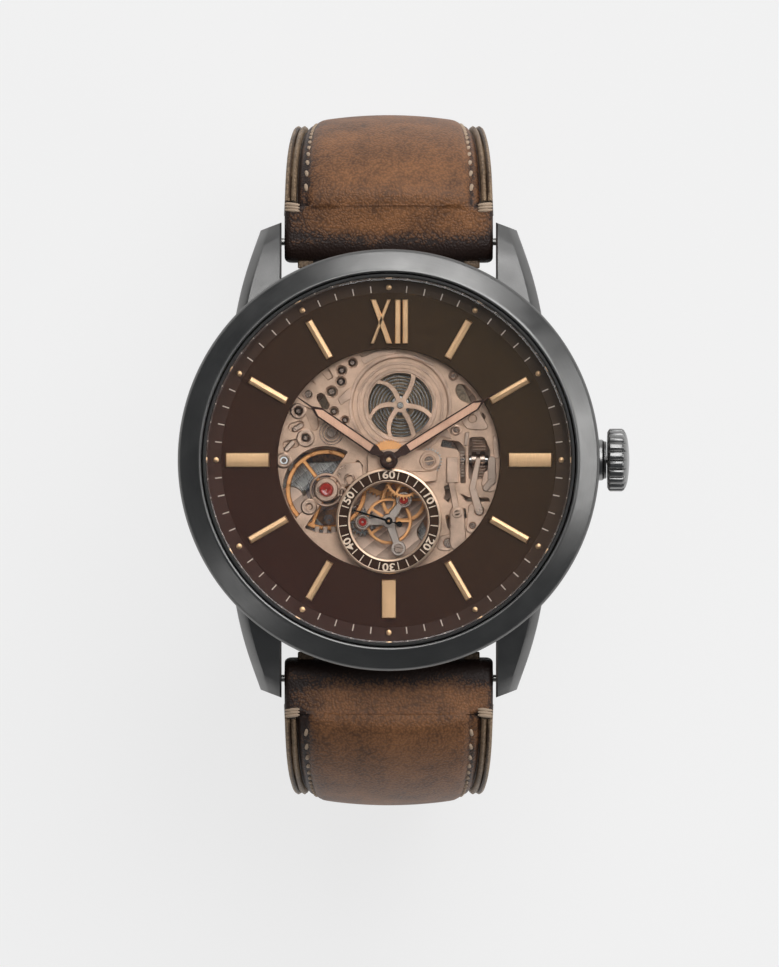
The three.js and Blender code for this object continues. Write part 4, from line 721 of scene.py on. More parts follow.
bosses = [boss((x, y), r, hole) for x, y, r, hole in [
    (-9.4, 5.1, 0.85, 0.44), (-8.65, 2.3, 0.95, 0.44), (-10.9, -0.05, 0.82, 0.42), (-4.07, -2.0, 0.62, 0.34),
    (-4.85, -3.35, 0.55, 0.26), (-8.3, -4.85, 0.85, 0.3), (-8.38, 6.85, 0.55, 0.4), (7.0, 3.1, 0.55, 0.3),
    (6.7, 8.75, 0.5, 0.3)]]
balance_setting = [
    turned([(0.68, 7.9), (1.28, 7.9), (1.28, 8.3), (1.15, 8.42), (0.78, 8.42), (0.68, 8.3)], 56, BALANCE),
    turned([(1.5, 8.05), (1.75, 8.05), (1.75, 8.16), (1.68, 8.22), (1.57, 8.22), (1.5, 8.16)], 56, BALANCE)]
raised_ridges = [
    # outlines of the covers and steps round the barrel, the setting works and the right-hand rim
    sheet([disc(BARREL, 5.35, 120), disc(BARREL, 5.05, 120)], PLATE_TOP - 0.02, PLATE_TOP + 0.06, 0.03),
    sheet([disc(BARREL, 4.5, 120), disc(BARREL, 4.25, 120)], STEP - 0.02, STEP + 0.07, 0.03),
    sheet([disc(BARREL, 3.85, 96), disc(BARREL, 3.5, 96)], STEP - 0.02, STEP + 0.1, 0.04),
    sheet([soft([(10.9, 2.6), (11.35, 2.3), (11.5, 0.2), (10.95, 0.2), (10.8, 1.9)], 0.12)],
          PLATE_TOP - 0.02, PLATE_TOP + 0.16, 0.05),
    sheet([soft([(7.7, 5.2), (9.2, 5.5), (10.4, 3.4), (9.9, 3.1), (8.2, 3.2), (7.6, 3.9)], 0.25),
           disc((8.7, 4.3), 0.42, 24)], PLATE_TOP - 0.02, PLATE_TOP + 0.14, 0.05),
    sheet([soft([(9.6, -2.6), (10.4, -3.4), (11.4, -3.0), (11.2, -1.4), (10.7, -0.9), (9.9, -1.2)], 0.25),
           disc((10.7, -2.25), 0.38, 24)], PLATE_TOP - 0.02, PLATE_TOP + 0.14, 0.05),
    sheet([soft([(8.3, -4.6), (9.6, -4.5), (10.3, -5.6), (9.3, -6.9), (8.6, -7.7), (8.0, -7.3), (8.2, -6.0)],
                0.3),
           disc((9.4, -5.3), 0.5, 28), disc((8.7, -6.8), 0.36, 24)], PLATE_TOP - 0.02, PLATE_TOP + 0.16,
           0.05),
    sheet([soft([(5.3, -7.9), (6.9, -7.6), (7.2, -8.9), (6.1, -9.5), (5.0, -9.3)], 0.35),
           disc((6.2, -8.62), 0.52, 28)],
          PLATE_TOP - 0.02, PLATE_TOP + 0.14, 0.05),
    sheet([soft([(2.0, 1.9), (3.2, 2.9), (5.2, 3.6), (6.3, 3.1), (6.6, 2.2), (5.1, 2.5), (3.6, 1.75),
                 (2.9, 1.2)], 0.2)],
          PLATE_TOP - 0.02, PLATE_TOP + 0.16, 0.05),
    sheet([soft([(-4.9, -0.35), (-2.9, -0.2), (-2.6, -1.5), (-3.2, -2.9), (-5.0, -2.5), (-5.4, -1.4)], 0.3),
           disc((-4.07, -2.0), 0.5, 28)], PLATE_TOP - 0.02, PLATE_TOP + 0.1, 0.05),
    sheet([soft([(-2.9, 10.6), (-1.1, 11.4), (0.9, 11.5), (0.6, 11.0), (-1.0, 10.8), (-2.6, 9.9)], 0.15)],
          PLATE_TOP - 0.02, PLATE_TOP + 0.1, 0.04),
    sheet([soft([(-5.0, 5.7), (-3.9, 6.4), (-3.95, 7.6), (-4.5, 7.2), (-5.3, 6.4)], 0.2)],
          PLATE_TOP - 0.02, PLATE_TOP + 0.09, 0.04)]
piece("plate_bosses_and_steps", bosses + balance_setting + raised_ridges, rose_bright, "case_and_strap",
      sharp=24)
cups = [turned([(0, 7.0), (r * 0.62, 7.0), (r * 0.62, 7.35), (r * 0.5, 7.42), (0, 7.42)], 24, (x, y))
        for x, y, r in PILLAR_HOLES]
piece("pillar_tops", cups, screw_steel, "case_and_strap")
screws = [screw((x, y), r, high, turn) for x, y, r, high, turn in [
    (4.2, -0.1, 0.5, 9.12, 8), (10.7, -2.25, 0.34, 8.3, 50), (9.4, -5.3, 0.46, 8.32, 80),
    (8.7, -6.8, 0.33, 8.3, -20),
    (6.2, -8.62, 0.5, 8.32, 62), (1.0, -9.2, 0.5, 8.25, -12), (7.0, 3.1, 0.28, 8.28, 15),
    (6.7, 8.75, 0.27, 8.28, 35),
    (-8.38, 6.85, 0.36, 8.2, 70), (7.1, -5.5, 0.32, 8.55, 20), (-5.95, 2.85, 0.5, 8.42, -40)]]
piece("slotted_screws", screws, screw_steel, "case_and_strap")
jewels = [jewel(BALANCE, 0.66, 8.36), jewel(THIRD, 0.47, 8.22), jewel(ESCAPE, 0.43, 8.22),
          jewel(FOURTH, 0.3, 8.14)]
piece("jewels", jewels, ruby, "case_and_strap")
settings = [turned([(r, 8.0), (r + 0.17, 8.0), (r + 0.17, 8.14), (r + 0.1, 8.24), (r, 8.24)], 40, at)
            for at, r in ((THIRD, 0.48), (ESCAPE, 0.44))]
large_screw_rings = [turned([(r, 8.05), (r + 0.16, 8.05), (r + 0.13, high), (r + 0.03, high)], 48,
                            (-5.95, 2.85))
                     for r, high in ((0.55, 8.34), (0.85, 8.26), (1.15, 8.18))]
piece("jewel_settings", settings + large_screw_rings, screw_steel, "case_and_strap")

# ------------------------------------------------------------------ back bridges
# Steel bridges on the back of the plate, striped by a grinding wheel, with bright chamfers; they
# carry the lower pivots of the barrel, the train and the balance. The grey stripes also show
# through the windows of the plate.
def striping_group():
    """Broad parallel stripes, as a grinding wheel leaves them, over fine lines."""
    group, given, result = effect(
        "Ground stripes", [("Colour", "Color", (0.5, 0.5, 0.5, 1)), ("Roughness", "Float", 0.3),
                           ("Stripe mm", "Float", 1.4)],
        [("Colour", "Color"), ("Roughness", "Float"), ("Normal", "Vector")])
    place = wire(group, "ShaderNodeTexCoord").outputs["Object"]
    mm = wire(group, "ShaderNodeVectorMath", {0: place, "Scale": 1000.0}, operation="SCALE").outputs[0]
    turned_mm = wire(group, "ShaderNodeVectorRotate", {"Vector": mm, "Angle": 0.9}, rotation_type="Z_AXIS")
    part = wire(group, "ShaderNodeSeparateXYZ", {0: turned_mm.outputs[0]})
    across = wire(group, "ShaderNodeMath", {0: part.outputs[0], 1: given["Stripe mm"]}, operation="DIVIDE")
    ramp = wire(group, "ShaderNodeMath", {0: across.outputs[0]}, operation="FRACT").outputs[0]
    thin = wire(group, "ShaderNodeVectorMath", {0: turned_mm.outputs[0], 1: (1, 24, 1)}, operation="MULTIPLY")
    fine = wire(group, "ShaderNodeTexNoise", {"Vector": thin.outputs[0], "Scale": 1.2, "Detail": 3.0})
    level = wire(group, "ShaderNodeMapRange",
                 {"Value": ramp, "To Min": 0.62, "To Max": 1.1}).outputs["Result"]
    grain = wire(group, "ShaderNodeMapRange", {"Value": fine.outputs["Fac"], "To Min": 0.85, "To Max": 1.15})
    both = wire(group, "ShaderNodeMath", {0: level, 1: grain.outputs["Result"]},
                operation="MULTIPLY").outputs[0]
    tone = wire(group, "ShaderNodeVectorMath", {0: given["Colour"], "Scale": both}, operation="SCALE")
    rough = wire(group, "ShaderNodeMath", {0: given["Roughness"], 1: grain.outputs["Result"]},
                 operation="MULTIPLY")
    bump = wire(group, "ShaderNodeBump", {"Height": ramp, "Strength": 0.4, "Distance": 0.00003})
    group.links.new(tone.outputs[0], result["Colour"])
    group.links.new(rough.outputs[0], result["Roughness"])
    group.links.new(bump.outputs["Normal"], result["Normal"])
    return group


STRIPED = striping_group()


def striped(name, colour, roughness, stripe=1.4):
    """Ground stripes on steel."""
    material, tree, bsdf = shader(name, colour, roughness, 1.0)
    ground = wire(tree, "ShaderNodeGroup", node_tree=STRIPED)
    ground.inputs["Colour"].default_value = (*colour, 1)
    ground.inputs["Roughness"].default_value = roughness
    ground.inputs["Stripe mm"].default_value = stripe
    for output, socket in (("Colour", "Base Color"), ("Roughness", "Roughness"), ("Normal", "Normal")):
        tree.links.new(ground.outputs[output], bsdf.inputs[socket])
    return material


bridge_steel = striped("striped_rose_steel", (0.72, 0.53, 0.42), 0.4)
BRIDGE = (3.9, 4.9)
BRIDGE_R = 12.9


def sector(start, end, corners):
    """Part of the movement's round, closed through inner corners."""
    return soft(arc(CENTRE, BRIDGE_R, start, end, 90) + corners, 0.25)


barrel_outline = sector(-9, 176, [(-5, 0.6), (-1.5, -1.3), (3, -2.9)])
barrel_bridge = sheet([barrel_outline, disc(BARREL, 1.05, 48), disc(CROWN_WHEEL, 2.8, 72),
                       disc(CENTRE, 0.3, 24),
                       bar((-6.5, 5.5), (-3.8, 8.7), 0.9), bar((8.6, 4), (6.7, 7.6), 0.9),
                       bar((-8.5, 2.2), (-5.5, 2.2), 0.6)], *BRIDGE, 0.09)
piece("barrel_bridge_striped", [barrel_bridge], bridge_steel, "case_and_strap", ["barrel_bridge"],
      sharp=20)
train_outline = sector(248, 348, [(3.2, -3.2), (-1.6, -1.6), (-4.9, -4.6)])
train_bridge = sheet([train_outline, *[disc(at, 0.34, 24) for at in (THIRD, ESCAPE, PALLET)],
                      disc(FOURTH, 0.3, 24),
                      bar((4, -7.5), (5.5, -5.2), 1), bar((7.6, -6.6), (8.6, -4.6), 0.7)], *BRIDGE, 0.09)
piece("train_bridge_striped", [train_bridge], bridge_steel, "case_and_strap", ["train_bridge"],
      sharp=20)
cock_outline = arc((-10.2, -4.2), 1.5, 20, 130, 8) + arc((-10.0, -6.2), 1.6, 170, 260, 8) + [(-8.4, -6.6)] + \
    arc(BALANCE, 1.5, -70, 120, 16)
piece("balance_cock_striped", [sheet([soft(cock_outline, 0.1), disc(BALANCE, 0.42, 24)], 3.9, 4.7, 0.09)],
      bridge_steel, "case_and_strap", ["balance_cock"], sharp=20)


def from_behind(part):
    """The same part turned over, so that its face looks out of the back."""
    return moved(part, Matrix.Rotation(math.pi, 4, "Y"))


back_screws = [screw((-x, y), 0.55, -3.78, turn) for x, y, turn in [
    (-10.6, 3.2, 20), (-2.2, 11.3, 70), (9.9, 6.2, -30), (11.4, 0.6, 10), (2.2, -11.0, 55), (8.9, -7.9, -15),
    (-9.9, -5.3, 40)]]
piece("bridge_screws", [from_behind(s) for s in back_screws], screw_steel, "case_and_strap")
back_jewels = [jewel((-x, y), 0.3, -3.86) for x,
               y in (THIRD, ESCAPE, PALLET)] + [jewel((-BALANCE[0], BALANCE[1]), 0.4,
                                                                                       -3.84)]
piece("bridge_jewels", [from_behind(j) for j in back_jewels], ruby, "case_and_strap")

# ------------------------------------------------------------------ small-seconds cock
# A polished steel cock of three arms over the seconds train, held by one screw at its foot.
cock_steel = brushed("polished_cock", (0.68, 0.57, 0.5), 0.3, around=0.0, lines=9.0, depth=0.12)
COCK = (7.25, 8.05)


def limb(a, b, half_a, half_b):
    """A tapering arm with round ends."""
    turn = math.degrees(math.atan2(b[1] - a[1], b[0] - a[0]))
    return arc(b, half_b, turn - 90, turn + 90, 12) + arc(a, half_a, turn + 90, turn + 270, 12)


COCK_FOOT = (1.0, -9.2)
arms = [limb(FOURTH, end, 0.5, 0.34) for end in (THIRD, ESCAPE, COCK_FOOT)]
lobes = [disc(at, r, 40) for at, r in ((THIRD, 0.85), (ESCAPE, 0.8), (COCK_FOOT, 0.78), (FOURTH, 0.75))]
cock_parts = [sheet([o], COCK[0], COCK[1] + lift, 0.08) for o, lift in
              zip(arms + lobes, (0.0, 0.0, 0.0, 0.03, 0.03, 0.03, 0.03))]
foot = turned([(0, 4.95), (0.6, 4.95), (0.6, 7.9), (0, 7.9)], 24, COCK_FOOT)
piece("seconds_cock_polished", cock_parts + [foot], cock_steel, "case_and_strap", ["seconds_cock"],
      sharp=24)

# ------------------------------------------------------------------ barrel and mainspring
# A brass drum with a toothed rim, open on the dial side, so that the coils of the steel
# mainspring show between the arms of the plate. Its arbor carries the ratchet wheel on the back.


def brass_for(name, colour, at, roughness=0.4):
    """Circular grain round the wheel's own arbor."""
    return brushed(name, colour, roughness, lines=9.0, depth=0.2, centre=at)


def teeth(count, pitch_r, tooth_at, at=CENTRE):
    """The outline of a toothed wheel, one of whose teeth stands at an angle in radians."""
    unit = 2 * pitch_r / count
    pitch = 2 * math.pi / count
    root, tip = pitch_r - 1.15 * unit, pitch_r + 0.8 * unit
    outline = []
    for i in range(count):
        a = tooth_at + i * pitch
        for r, lean in ((root, -0.3), (pitch_r, -0.2), (tip, -0.08), (tip, 0.08), (pitch_r, 0.2),
                        (root, 0.3)):
            outline.append((at[0] + r * math.cos(a + lean * pitch), at[1] + r * math.sin(a + lean * pitch)))
    return outline


def spokes(count, hub, rim, width, at=CENTRE, first=0.0):
    """The windows between a wheel's spokes."""
    holes = []
    step = 2 * math.pi / count
    for i in range(count):
        a, b = first + i * step, first + (i + 1) * step
        out = [math.degrees(a + math.asin(width / 2 / rim)), math.degrees(b - math.asin(width / 2 / rim))]
        inner = [math.degrees(b - math.asin(width / 2 / hub)), math.degrees(a + math.asin(width / 2 / hub))]
        holes.append(soft(arc(at, rim, *out, 18) + arc(at, hub, *inner, 6), width * 0.3))
    return holes


def toward(a, b):
    return math.atan2(b[1] - a[1], b[0] - a[0])


def gap_toward(a, b, count):
    return toward(a, b) + math.pi / count


def pitch_radii(first, second, a, b):
    """Pitch radii of two wheels in mesh, from their tooth counts and centres."""
    per_tooth = math.dist(a, b) / (first + second)
    return per_tooth * first, per_tooth * second


def coil(inner, outer, turns, thick, low, high, at, steps=48):
    """A flat ribbon wound in a spiral."""
    rings = []
    total = int(turns * steps)
    for i in range(total + 1):
        a = 2 * math.pi * i / steps
        r = inner + (outer - inner) * i / total
        c, s = math.cos(a), math.sin(a)
        rings.append([(at[0] + q * c, at[1] + q * s, h) for q, h in
                      ((r - thick / 2, low), (r + thick / 2, low), (r + thick / 2, high),
                       (r - thick / 2, high))])
    return loft(rings)


BARREL_PITCH, CENTRE_LEAF = pitch_radii(78, 12, BARREL, CENTRE)
barrel_brass = brass_for("barrel_brass", (0.7, 0.5, 0.33), BARREL, 0.34)
drum = eased([(1.05, 5.5), (4.65, 5.5), (4.65, 6.8), (4.4, 6.9), (4.4, 5.7), (1.05, 5.7)], 0.06)
barrel_rim = sheet([teeth(78, BARREL_PITCH, toward(BARREL, CENTRE), BARREL), disc(BARREL, 4.6, 96)], 6.75,
                   7.05, 0.04)
piece("barrel_drum_grained", [turned(drum, 96, BARREL), barrel_rim], barrel_brass, "barrel_drum", ["barrel"])
spring_steel = brushed("mainspring_steel", (0.4, 0.385, 0.37), 0.25, lines=5.0, depth=0.1, centre=BARREL)
piece("mainspring_coils", [coil(1.25, 4.3, 9, 0.13, 5.8, 6.85, BARREL)], spring_steel, "barrel_drum",
      ["mainspring"],
      sharp=50)

# ------------------------------------------------------------------ ratchet and crown wheels
# Hardened steel wheels on the back. The ratchet wheel is squared on the barrel arbor, whose top
# turns in the plate; the crown wheel brings the winding to it from the stem.
def snailed(name, at):
    return brushed(name, (0.55, 0.53, 0.5), 0.25, lines=5.0, depth=0.3, centre=at)


RATCHET_PITCH, CROWN_WHEEL_PITCH = pitch_radii(46, 30, BARREL, CROWN_WHEEL)
ratchet = [sheet([teeth(46, RATCHET_PITCH, toward(BARREL, CROWN_WHEEL), BARREL)], 3.45, 3.75, 0.05),
           turned([(0, 3.5), (0.95, 3.5), (0.95, 7.05), (0.34, 7.1), (0.34, 8.0), (0.28, 8.06), (0, 8.06)],
                  40, BARREL)]
piece("ratchet_wheel_snailed", ratchet, snailed("ratchet_steel", BARREL), "ratchet", ["ratchet_wheel"])
crown_teeth = teeth(30, CROWN_WHEEL_PITCH, gap_toward(CROWN_WHEEL, BARREL, 30), CROWN_WHEEL)
face_teeth = teeth(36, 2.2, 0.0, CROWN_WHEEL)
crown_wheel = [sheet([crown_teeth, disc(CROWN_WHEEL, 1.5, 48)], 3.45, 3.75, 0.05),
               turned([(1.5, 3.6), (2.5, 3.6), (2.5, 4.75), (1.5, 4.75)], 64, CROWN_WHEEL),
               sheet([face_teeth, disc(CROWN_WHEEL, 1.5, 48)], 4.7, 5.05, 0.04)]
piece("crown_wheel_snailed", crown_wheel, snailed("crown_wheel_steel", CROWN_WHEEL), "crown_transmission",
      ["crown_wheel"])

# ------------------------------------------------------------------ going train
# Copper-plated brass wheels riveted to cut steel pinions; each arbor runs from a back bridge to
# the plate. Five spokes are crossed out of each wheel and the rims are left bright.
COPPER = (1.0, 0.5, 0.21)
CENTRE_PITCH, THIRD_LEAF = pitch_radii(64, 8, CENTRE, THIRD)
THIRD_PITCH, FOURTH_LEAF = pitch_radii(60, 8, THIRD, FOURTH)
FOURTH_PITCH, ESCAPE_LEAF = pitch_radii(72, 8, FOURTH, ESCAPE)


def wheel(at, count, pitch_r, tooth_at, hub, rim, width, heights):
    return sheet([teeth(count, pitch_r, tooth_at, at), *spokes(5, hub, rim, width, at)], *heights, 0.035)


def pinion(at, count, pitch_r, mate, low, high):
    return sheet([teeth(count, pitch_r, gap_toward(at, mate, count), at)], low, high, 0.03)


def arbor(at, profile):
    return turned([(0, profile[0][1]), *profile, (0, profile[-1][1])], 20, at)


centre_parts = [wheel(CENTRE, 64, CENTRE_PITCH, toward(CENTRE, THIRD), 1.0, 3.3, 0.45, (5.2, 5.4)),
                pinion(CENTRE, 12, CENTRE_LEAF, BARREL, 6.62, 7.1),
                arbor(CENTRE, [(0.16, 3.9), (0.16, 5.1), (0.45, 5.2), (0.45, 6.7), (0.16, 7.2), (0.16, 10.7),
                               (0.1, 10.75)])]
third_parts = [wheel(THIRD, 60, THIRD_PITCH, toward(THIRD, FOURTH), 0.7, 1.95, 0.3, (6, 6.2)),
               pinion(THIRD, 8, THIRD_LEAF, CENTRE, 5.1, 5.9),
               arbor(THIRD, [(0.08, 4.0), (0.16, 4.3), (0.16, 5.1), (0.3, 5.5), (0.3, 6.4), (0.16, 6.5),
                             (0.1, 8.1)])]
fourth_parts = [wheel(FOURTH, 72, FOURTH_PITCH, toward(FOURTH, ESCAPE), 0.65, 2.1, 0.3, (6.5, 6.7)),
                pinion(FOURTH, 8, FOURTH_LEAF, THIRD, 5.9, 6.6),
                arbor(FOURTH, [(0.08, 4.0), (0.16, 4.3), (0.16, 9.8), (0.1, 9.86)])]
for name, at, parts, body, node in (
        ("centre_wheel_crossed", CENTRE, centre_parts, "centre_train", "centre_wheel"),
        ("third_wheel_crossed", THIRD, third_parts, "third_train", "third_wheel"),
        ("fourth_wheel_crossed", FOURTH, fourth_parts, "fourth_train", "fourth_wheel")):
    piece(name, parts, brass_for(node + "_copper", COPPER, at), body, [node])

# ------------------------------------------------------------------ escapement and balance
# The steel escape wheel, the pallet fork with its two ruby stones, and the copper balance with
# its flat blued hairspring, which swings under the cock on the left of the dial window.
escape_outline = []
for i in range(20):
    step = math.radians(18)
    a = i * step
    for r, lean in ((1.18, 0.0), (1.3, 0.25), (1.5, 0.42), (1.5, 0.58), (1.22, 0.8)):
        escape_outline.append((ESCAPE[0] + r * math.cos(a + lean * step),
                               ESCAPE[1] + r * math.sin(a + lean * step)))
escape_parts = [sheet([escape_outline, *spokes(4, 0.4, 0.98, 0.2, ESCAPE)], 5.5, 5.65, 0.02),
                pinion(ESCAPE, 8, ESCAPE_LEAF, FOURTH, 5.6, 6.9),
                arbor(ESCAPE, [(0.07, 4.0), (0.11, 4.3), (0.11, 7.9), (0.07, 8.1)])]
piece("escape_wheel_polished", escape_parts, brass_for("escape_steel", (0.6, 0.58, 0.55), ESCAPE, 0.2),
      "escape_train",
      ["escape_wheel"])


def polar(at, r, angle):
    return at[0] + r * math.cos(angle), at[1] + r * math.sin(angle)


FORK = (5.42, 5.72)
to_escape, to_balance = toward(PALLET, ESCAPE), toward(PALLET, BALANCE)
fork_parts = [sheet([bar(PALLET, polar(PALLET, 0.97, to_escape + side * 1.1), 0.11)], *FORK,
                    0.03) for side in (-1, 1)]
fork_parts += [sheet([limb(PALLET, polar(PALLET, 2.2, to_balance), 0.2, 0.12)], *FORK, 0.03)]
fork_parts += [sheet([bar(polar(PALLET, 2.12, to_balance), polar(PALLET, 2.42, to_balance + side * 0.075),
                          0.07)],
                     *FORK, 0.02) for side in (-1, 1)]
fork_parts += [arbor(PALLET, [(0.08, 4.0), (0.12, 4.3), (0.12, 6.0), (0.08, 6.1)])]
piece("pallet_fork_polished", fork_parts, cock_steel, "pallets", ["pallet_fork"])
stones = [sheet([bar(polar(PALLET, 0.9, to_escape + side * 1.1), polar(PALLET, 1.03, to_escape + side * 1.04),
                     0.06)],
                5.46, 5.78, 0.015) for side in (-1, 1)]
piece("pallet_stones", stones, ruby, "pallets")

SPOKE_TURN = math.radians(128)
balance_copper = brass_for("balance_copper", (1.0, 0.48, 0.19), BALANCE, 0.4)
balance_parts = [sheet([disc(BALANCE, 4.2, 120), *spokes(3, 0.55, 3.73, 0.42, BALANCE, SPOKE_TURN)], 6.25,
                       6.65, 0.07),
                 arbor(BALANCE, [(0.07, 4.0), (0.14, 4.3), (0.14, 5.2), (0.62, 5.2), (0.62, 5.35),
                                 (0.14, 5.4),
                                 (0.14, 7.8), (0.07, 8.0)])]
rim_screws = [turned([(0, 6.6), (0.16, 6.6), (0.16, 6.74), (0.1, 6.8), (0, 6.8)], 16,
                     polar(BALANCE, 3.97, SPOKE_TURN + math.radians(30 * i + 15))) for i in range(12)]
piece("balance_wheel_crossed", balance_parts + rim_screws, balance_copper, "balance", ["balance_wheel"])
hair = brushed("hairspring_blue", (0.16, 0.2, 0.3), 0.25, lines=5.0, depth=0.1)
piece("hairspring_coils", [coil(0.5, 2.1, 9, 0.045, 4.85, 5.03, BALANCE)], hair, "case_and_strap",
      ["hairspring"],
      sharp=50)

# ------------------------------------------------------------------ motion works
# Under the dial the cannon pinion turns the minute wheel, and that the hour wheel. A cover plate
# keeps the minute and setting wheels on their studs.
MOTION = (8.2, 8.4)
CANNON_PITCH, MINUTE_PITCH = pitch_radii(12, 36, CENTRE, MINUTE_WHEEL)
MINUTE_LEAF, HOUR_PITCH = pitch_radii(12, 48, MINUTE_WHEEL, CENTRE)
_, SETTING_PITCH = pitch_radii(36, 24, MINUTE_WHEEL, SETTING_WHEEL)
cannon = [pinion(CENTRE, 12, CANNON_PITCH, MINUTE_WHEEL, 8.15, 8.45),
          turned([(0.18, 8.1), (0.45, 8.1), (0.45, 8.45), (0.32, 8.5), (0.32, 10.62), (0.28, 10.66),
                  (0.18, 10.66)], 32)]
piece("cannon_pinion_cut", cannon, screw_steel, "minute_works", ["cannon_pinion"])
minute_tooth = toward(MINUTE_WHEEL, CENTRE)
minute_wheel = [sheet([teeth(36, MINUTE_PITCH, minute_tooth, MINUTE_WHEEL),
                       *spokes(3, 0.75, 1.55, 0.3, MINUTE_WHEEL)], *MOTION, 0.03),
                pinion(MINUTE_WHEEL, 12, MINUTE_LEAF, CENTRE, 8.35, 8.75)]
piece("minute_wheel_cut", minute_wheel, brass_for("minute_wheel_copper", COPPER, MINUTE_WHEEL),
      "minute_reduction",
      ["minute_wheel"])
hour_wheel = [sheet([teeth(48, HOUR_PITCH, toward(CENTRE, MINUTE_WHEEL)), disc(CENTRE, 0.42, 32)], 8.5, 8.7,
                    0.03),
              turned([(0.36, 8.5), (0.6, 8.5), (0.6, 10.15), (0.56, 10.2), (0.36, 10.2)], 40)]
piece("hour_wheel_cut", hour_wheel, brass_for("hour_wheel_copper", COPPER, CENTRE), "hour_works",
      ["hour_wheel"])
setting_turn = toward(MINUTE_WHEEL, SETTING_WHEEL)
setting_shift = (setting_turn - minute_tooth) * 36 / 24
setting_wheel = sheet([teeth(24, SETTING_PITCH, setting_turn + math.pi + setting_shift + math.pi / 24,
                             SETTING_WHEEL),
                       disc(SETTING_WHEEL, 0.35, 24)], *MOTION, 0.03)
piece("setting_wheel_cut", [setting_wheel], brass_for("setting_steel", (0.6, 0.56, 0.52), SETTING_WHEEL),
      "setting_gear", ["setting_wheel"])
cover_wing = soft([(-2.2, 0.9), (-2.2, -1.4), (2.6, -2.4), (5, -2.2), (5, -0.4), (2.4, 1.3)], 0.3)
cover = [sheet([bar(CENTRE, SETTING_WHEEL, 1.12, 20)], 8.8, 9.02, 0.05),
         sheet([cover_wing], 8.75, 8.94, 0.05),
         turned([(0.62, 9.0), (0.86, 9.0), (0.86, 9.08), (0.62, 9.08)], 40),
         turned([(0.62, 8.95), (1.0, 8.95), (1.0, 9.06), (0.92, 9.12), (0.7, 9.12), (0.62, 9.04)], 40,
                SETTING_WHEEL),
         turned([(0.6, 8.9), (0.6, 8.1), (0.3, 8.1), (0.3, 8.9)], 20, SETTING_WHEEL),
         turned([(0, 8.8), (0.2, 8.8), (0.2, 8.15), (0, 8.15)], 16, MINUTE_WHEEL)]
piece("motion_cover_plated", cover, rose_plate, "case_and_strap", ["motion_cover"], sharp=24)

# ------------------------------------------------------------------ keyless works
# Levers and springs that change the stem between winding and setting. They are stamped in steel,
# straight-grained on top, and lie in the right-hand side of the dial window.
lever_steel = brushed("straight_grained_steel", (0.6, 0.45, 0.36), 0.3, around=0.0, lines=10.0, depth=0.25)
bright_steel = brushed("bright_grained_steel", (0.84, 0.62, 0.49), 0.3, around=0.0, lines=10.0, depth=0.2)
KEYLESS = (8.15, 8.4)
SETTING_LEVER = (10.7, -2.2)
YOKE = (9.4, -5.3)


def from_pivot(pivot, points):
    return [(pivot[0] + x, pivot[1] + y) for x, y in points]


lever_end, lever_nose = from_pivot(SETTING_LEVER, [(0, 2.2), (-0.6, -0.7)])
setting_lever = [sheet([bar(SETTING_LEVER, lever_end, 0.4)], *KEYLESS, 0.05),
                 sheet([bar(SETTING_LEVER, lever_nose, 0.34)], 8.17, 8.42, 0.05)]
piece("setting_lever_stamped", setting_lever, lever_steel, "setting_lever_arm", ["setting_lever"])
yoke_knee, yoke_tip = from_pivot(YOKE, [(-0.7, 2.4), (-0.1, 5.3)])
yoke = [sheet([limb(YOKE, yoke_knee, 0.42, 0.36)], *KEYLESS, 0.05),
        sheet([limb(yoke_knee, yoke_tip, 0.34, 0.27)], 8.17, 8.42, 0.05)]
piece("yoke_stamped", yoke, bright_steel, "yoke_arm", ["yoke"])
spring = [sheet([limb((7.2, -8.6), (7.1, -5.5), 0.85, 0.75)], *KEYLESS, 0.07),
          sheet([limb((7.1, -5.5), (6.5, -2.2), 0.36, 0.3)], 8.17, 8.42, 0.05),
          sheet([soft([(6.02, -2.38), (7.22, -2.38), (7.22, 0.33), (6.02, 0.33)], 0.12)], 8.15, 8.45, 0.06),
          turned([(0, 8.3), (0.55, 8.3), (0.55, 8.5), (0.48, 8.55), (0, 8.55)], 36, (7.1, -5.5))]
piece("setting_spring_stamped", spring, rose_bright, "case_and_strap", ["setting_spring"])


def along_stem(profile, sides=36):
    """A profile of (radius, x) points turned about the stem."""
    return moved(turned(profile, sides), UP_TO_X)


def face_gear(x, reach, r, count):
    """Teeth cut lengthwise round the stem's axis."""
    upright = sheet([teeth(count, r, 0.0)], x, x + reach, 0.03)
    return moved(upright, UP_TO_X)


winding_pinion = [face_gear(6.45, 0.8, 0.8, 12),
                  along_stem([(0.42, 7.2), (0.62, 7.2), (0.62, 7.5), (0.42, 7.5)])]
piece("winding_pinion_cut", winding_pinion, screw_steel, "winding_gear", ["winding_pinion"],
      lift=STEM_LIFT)
clutch_profile = [(0.42, 8.62), (0.85, 8.62), (0.85, 9.1), (0.62, 9.14), (0.62, 9.46), (0.85, 9.5),
                  (0.85, 9.98),
                  (0.42, 9.98)]
piece("sliding_pinion_cut", [along_stem(clutch_profile), face_gear(9.6, 0.38, 0.8, 12)], screw_steel,
      "clutch",
      ["sliding_pinion"], lift=STEM_LIFT)

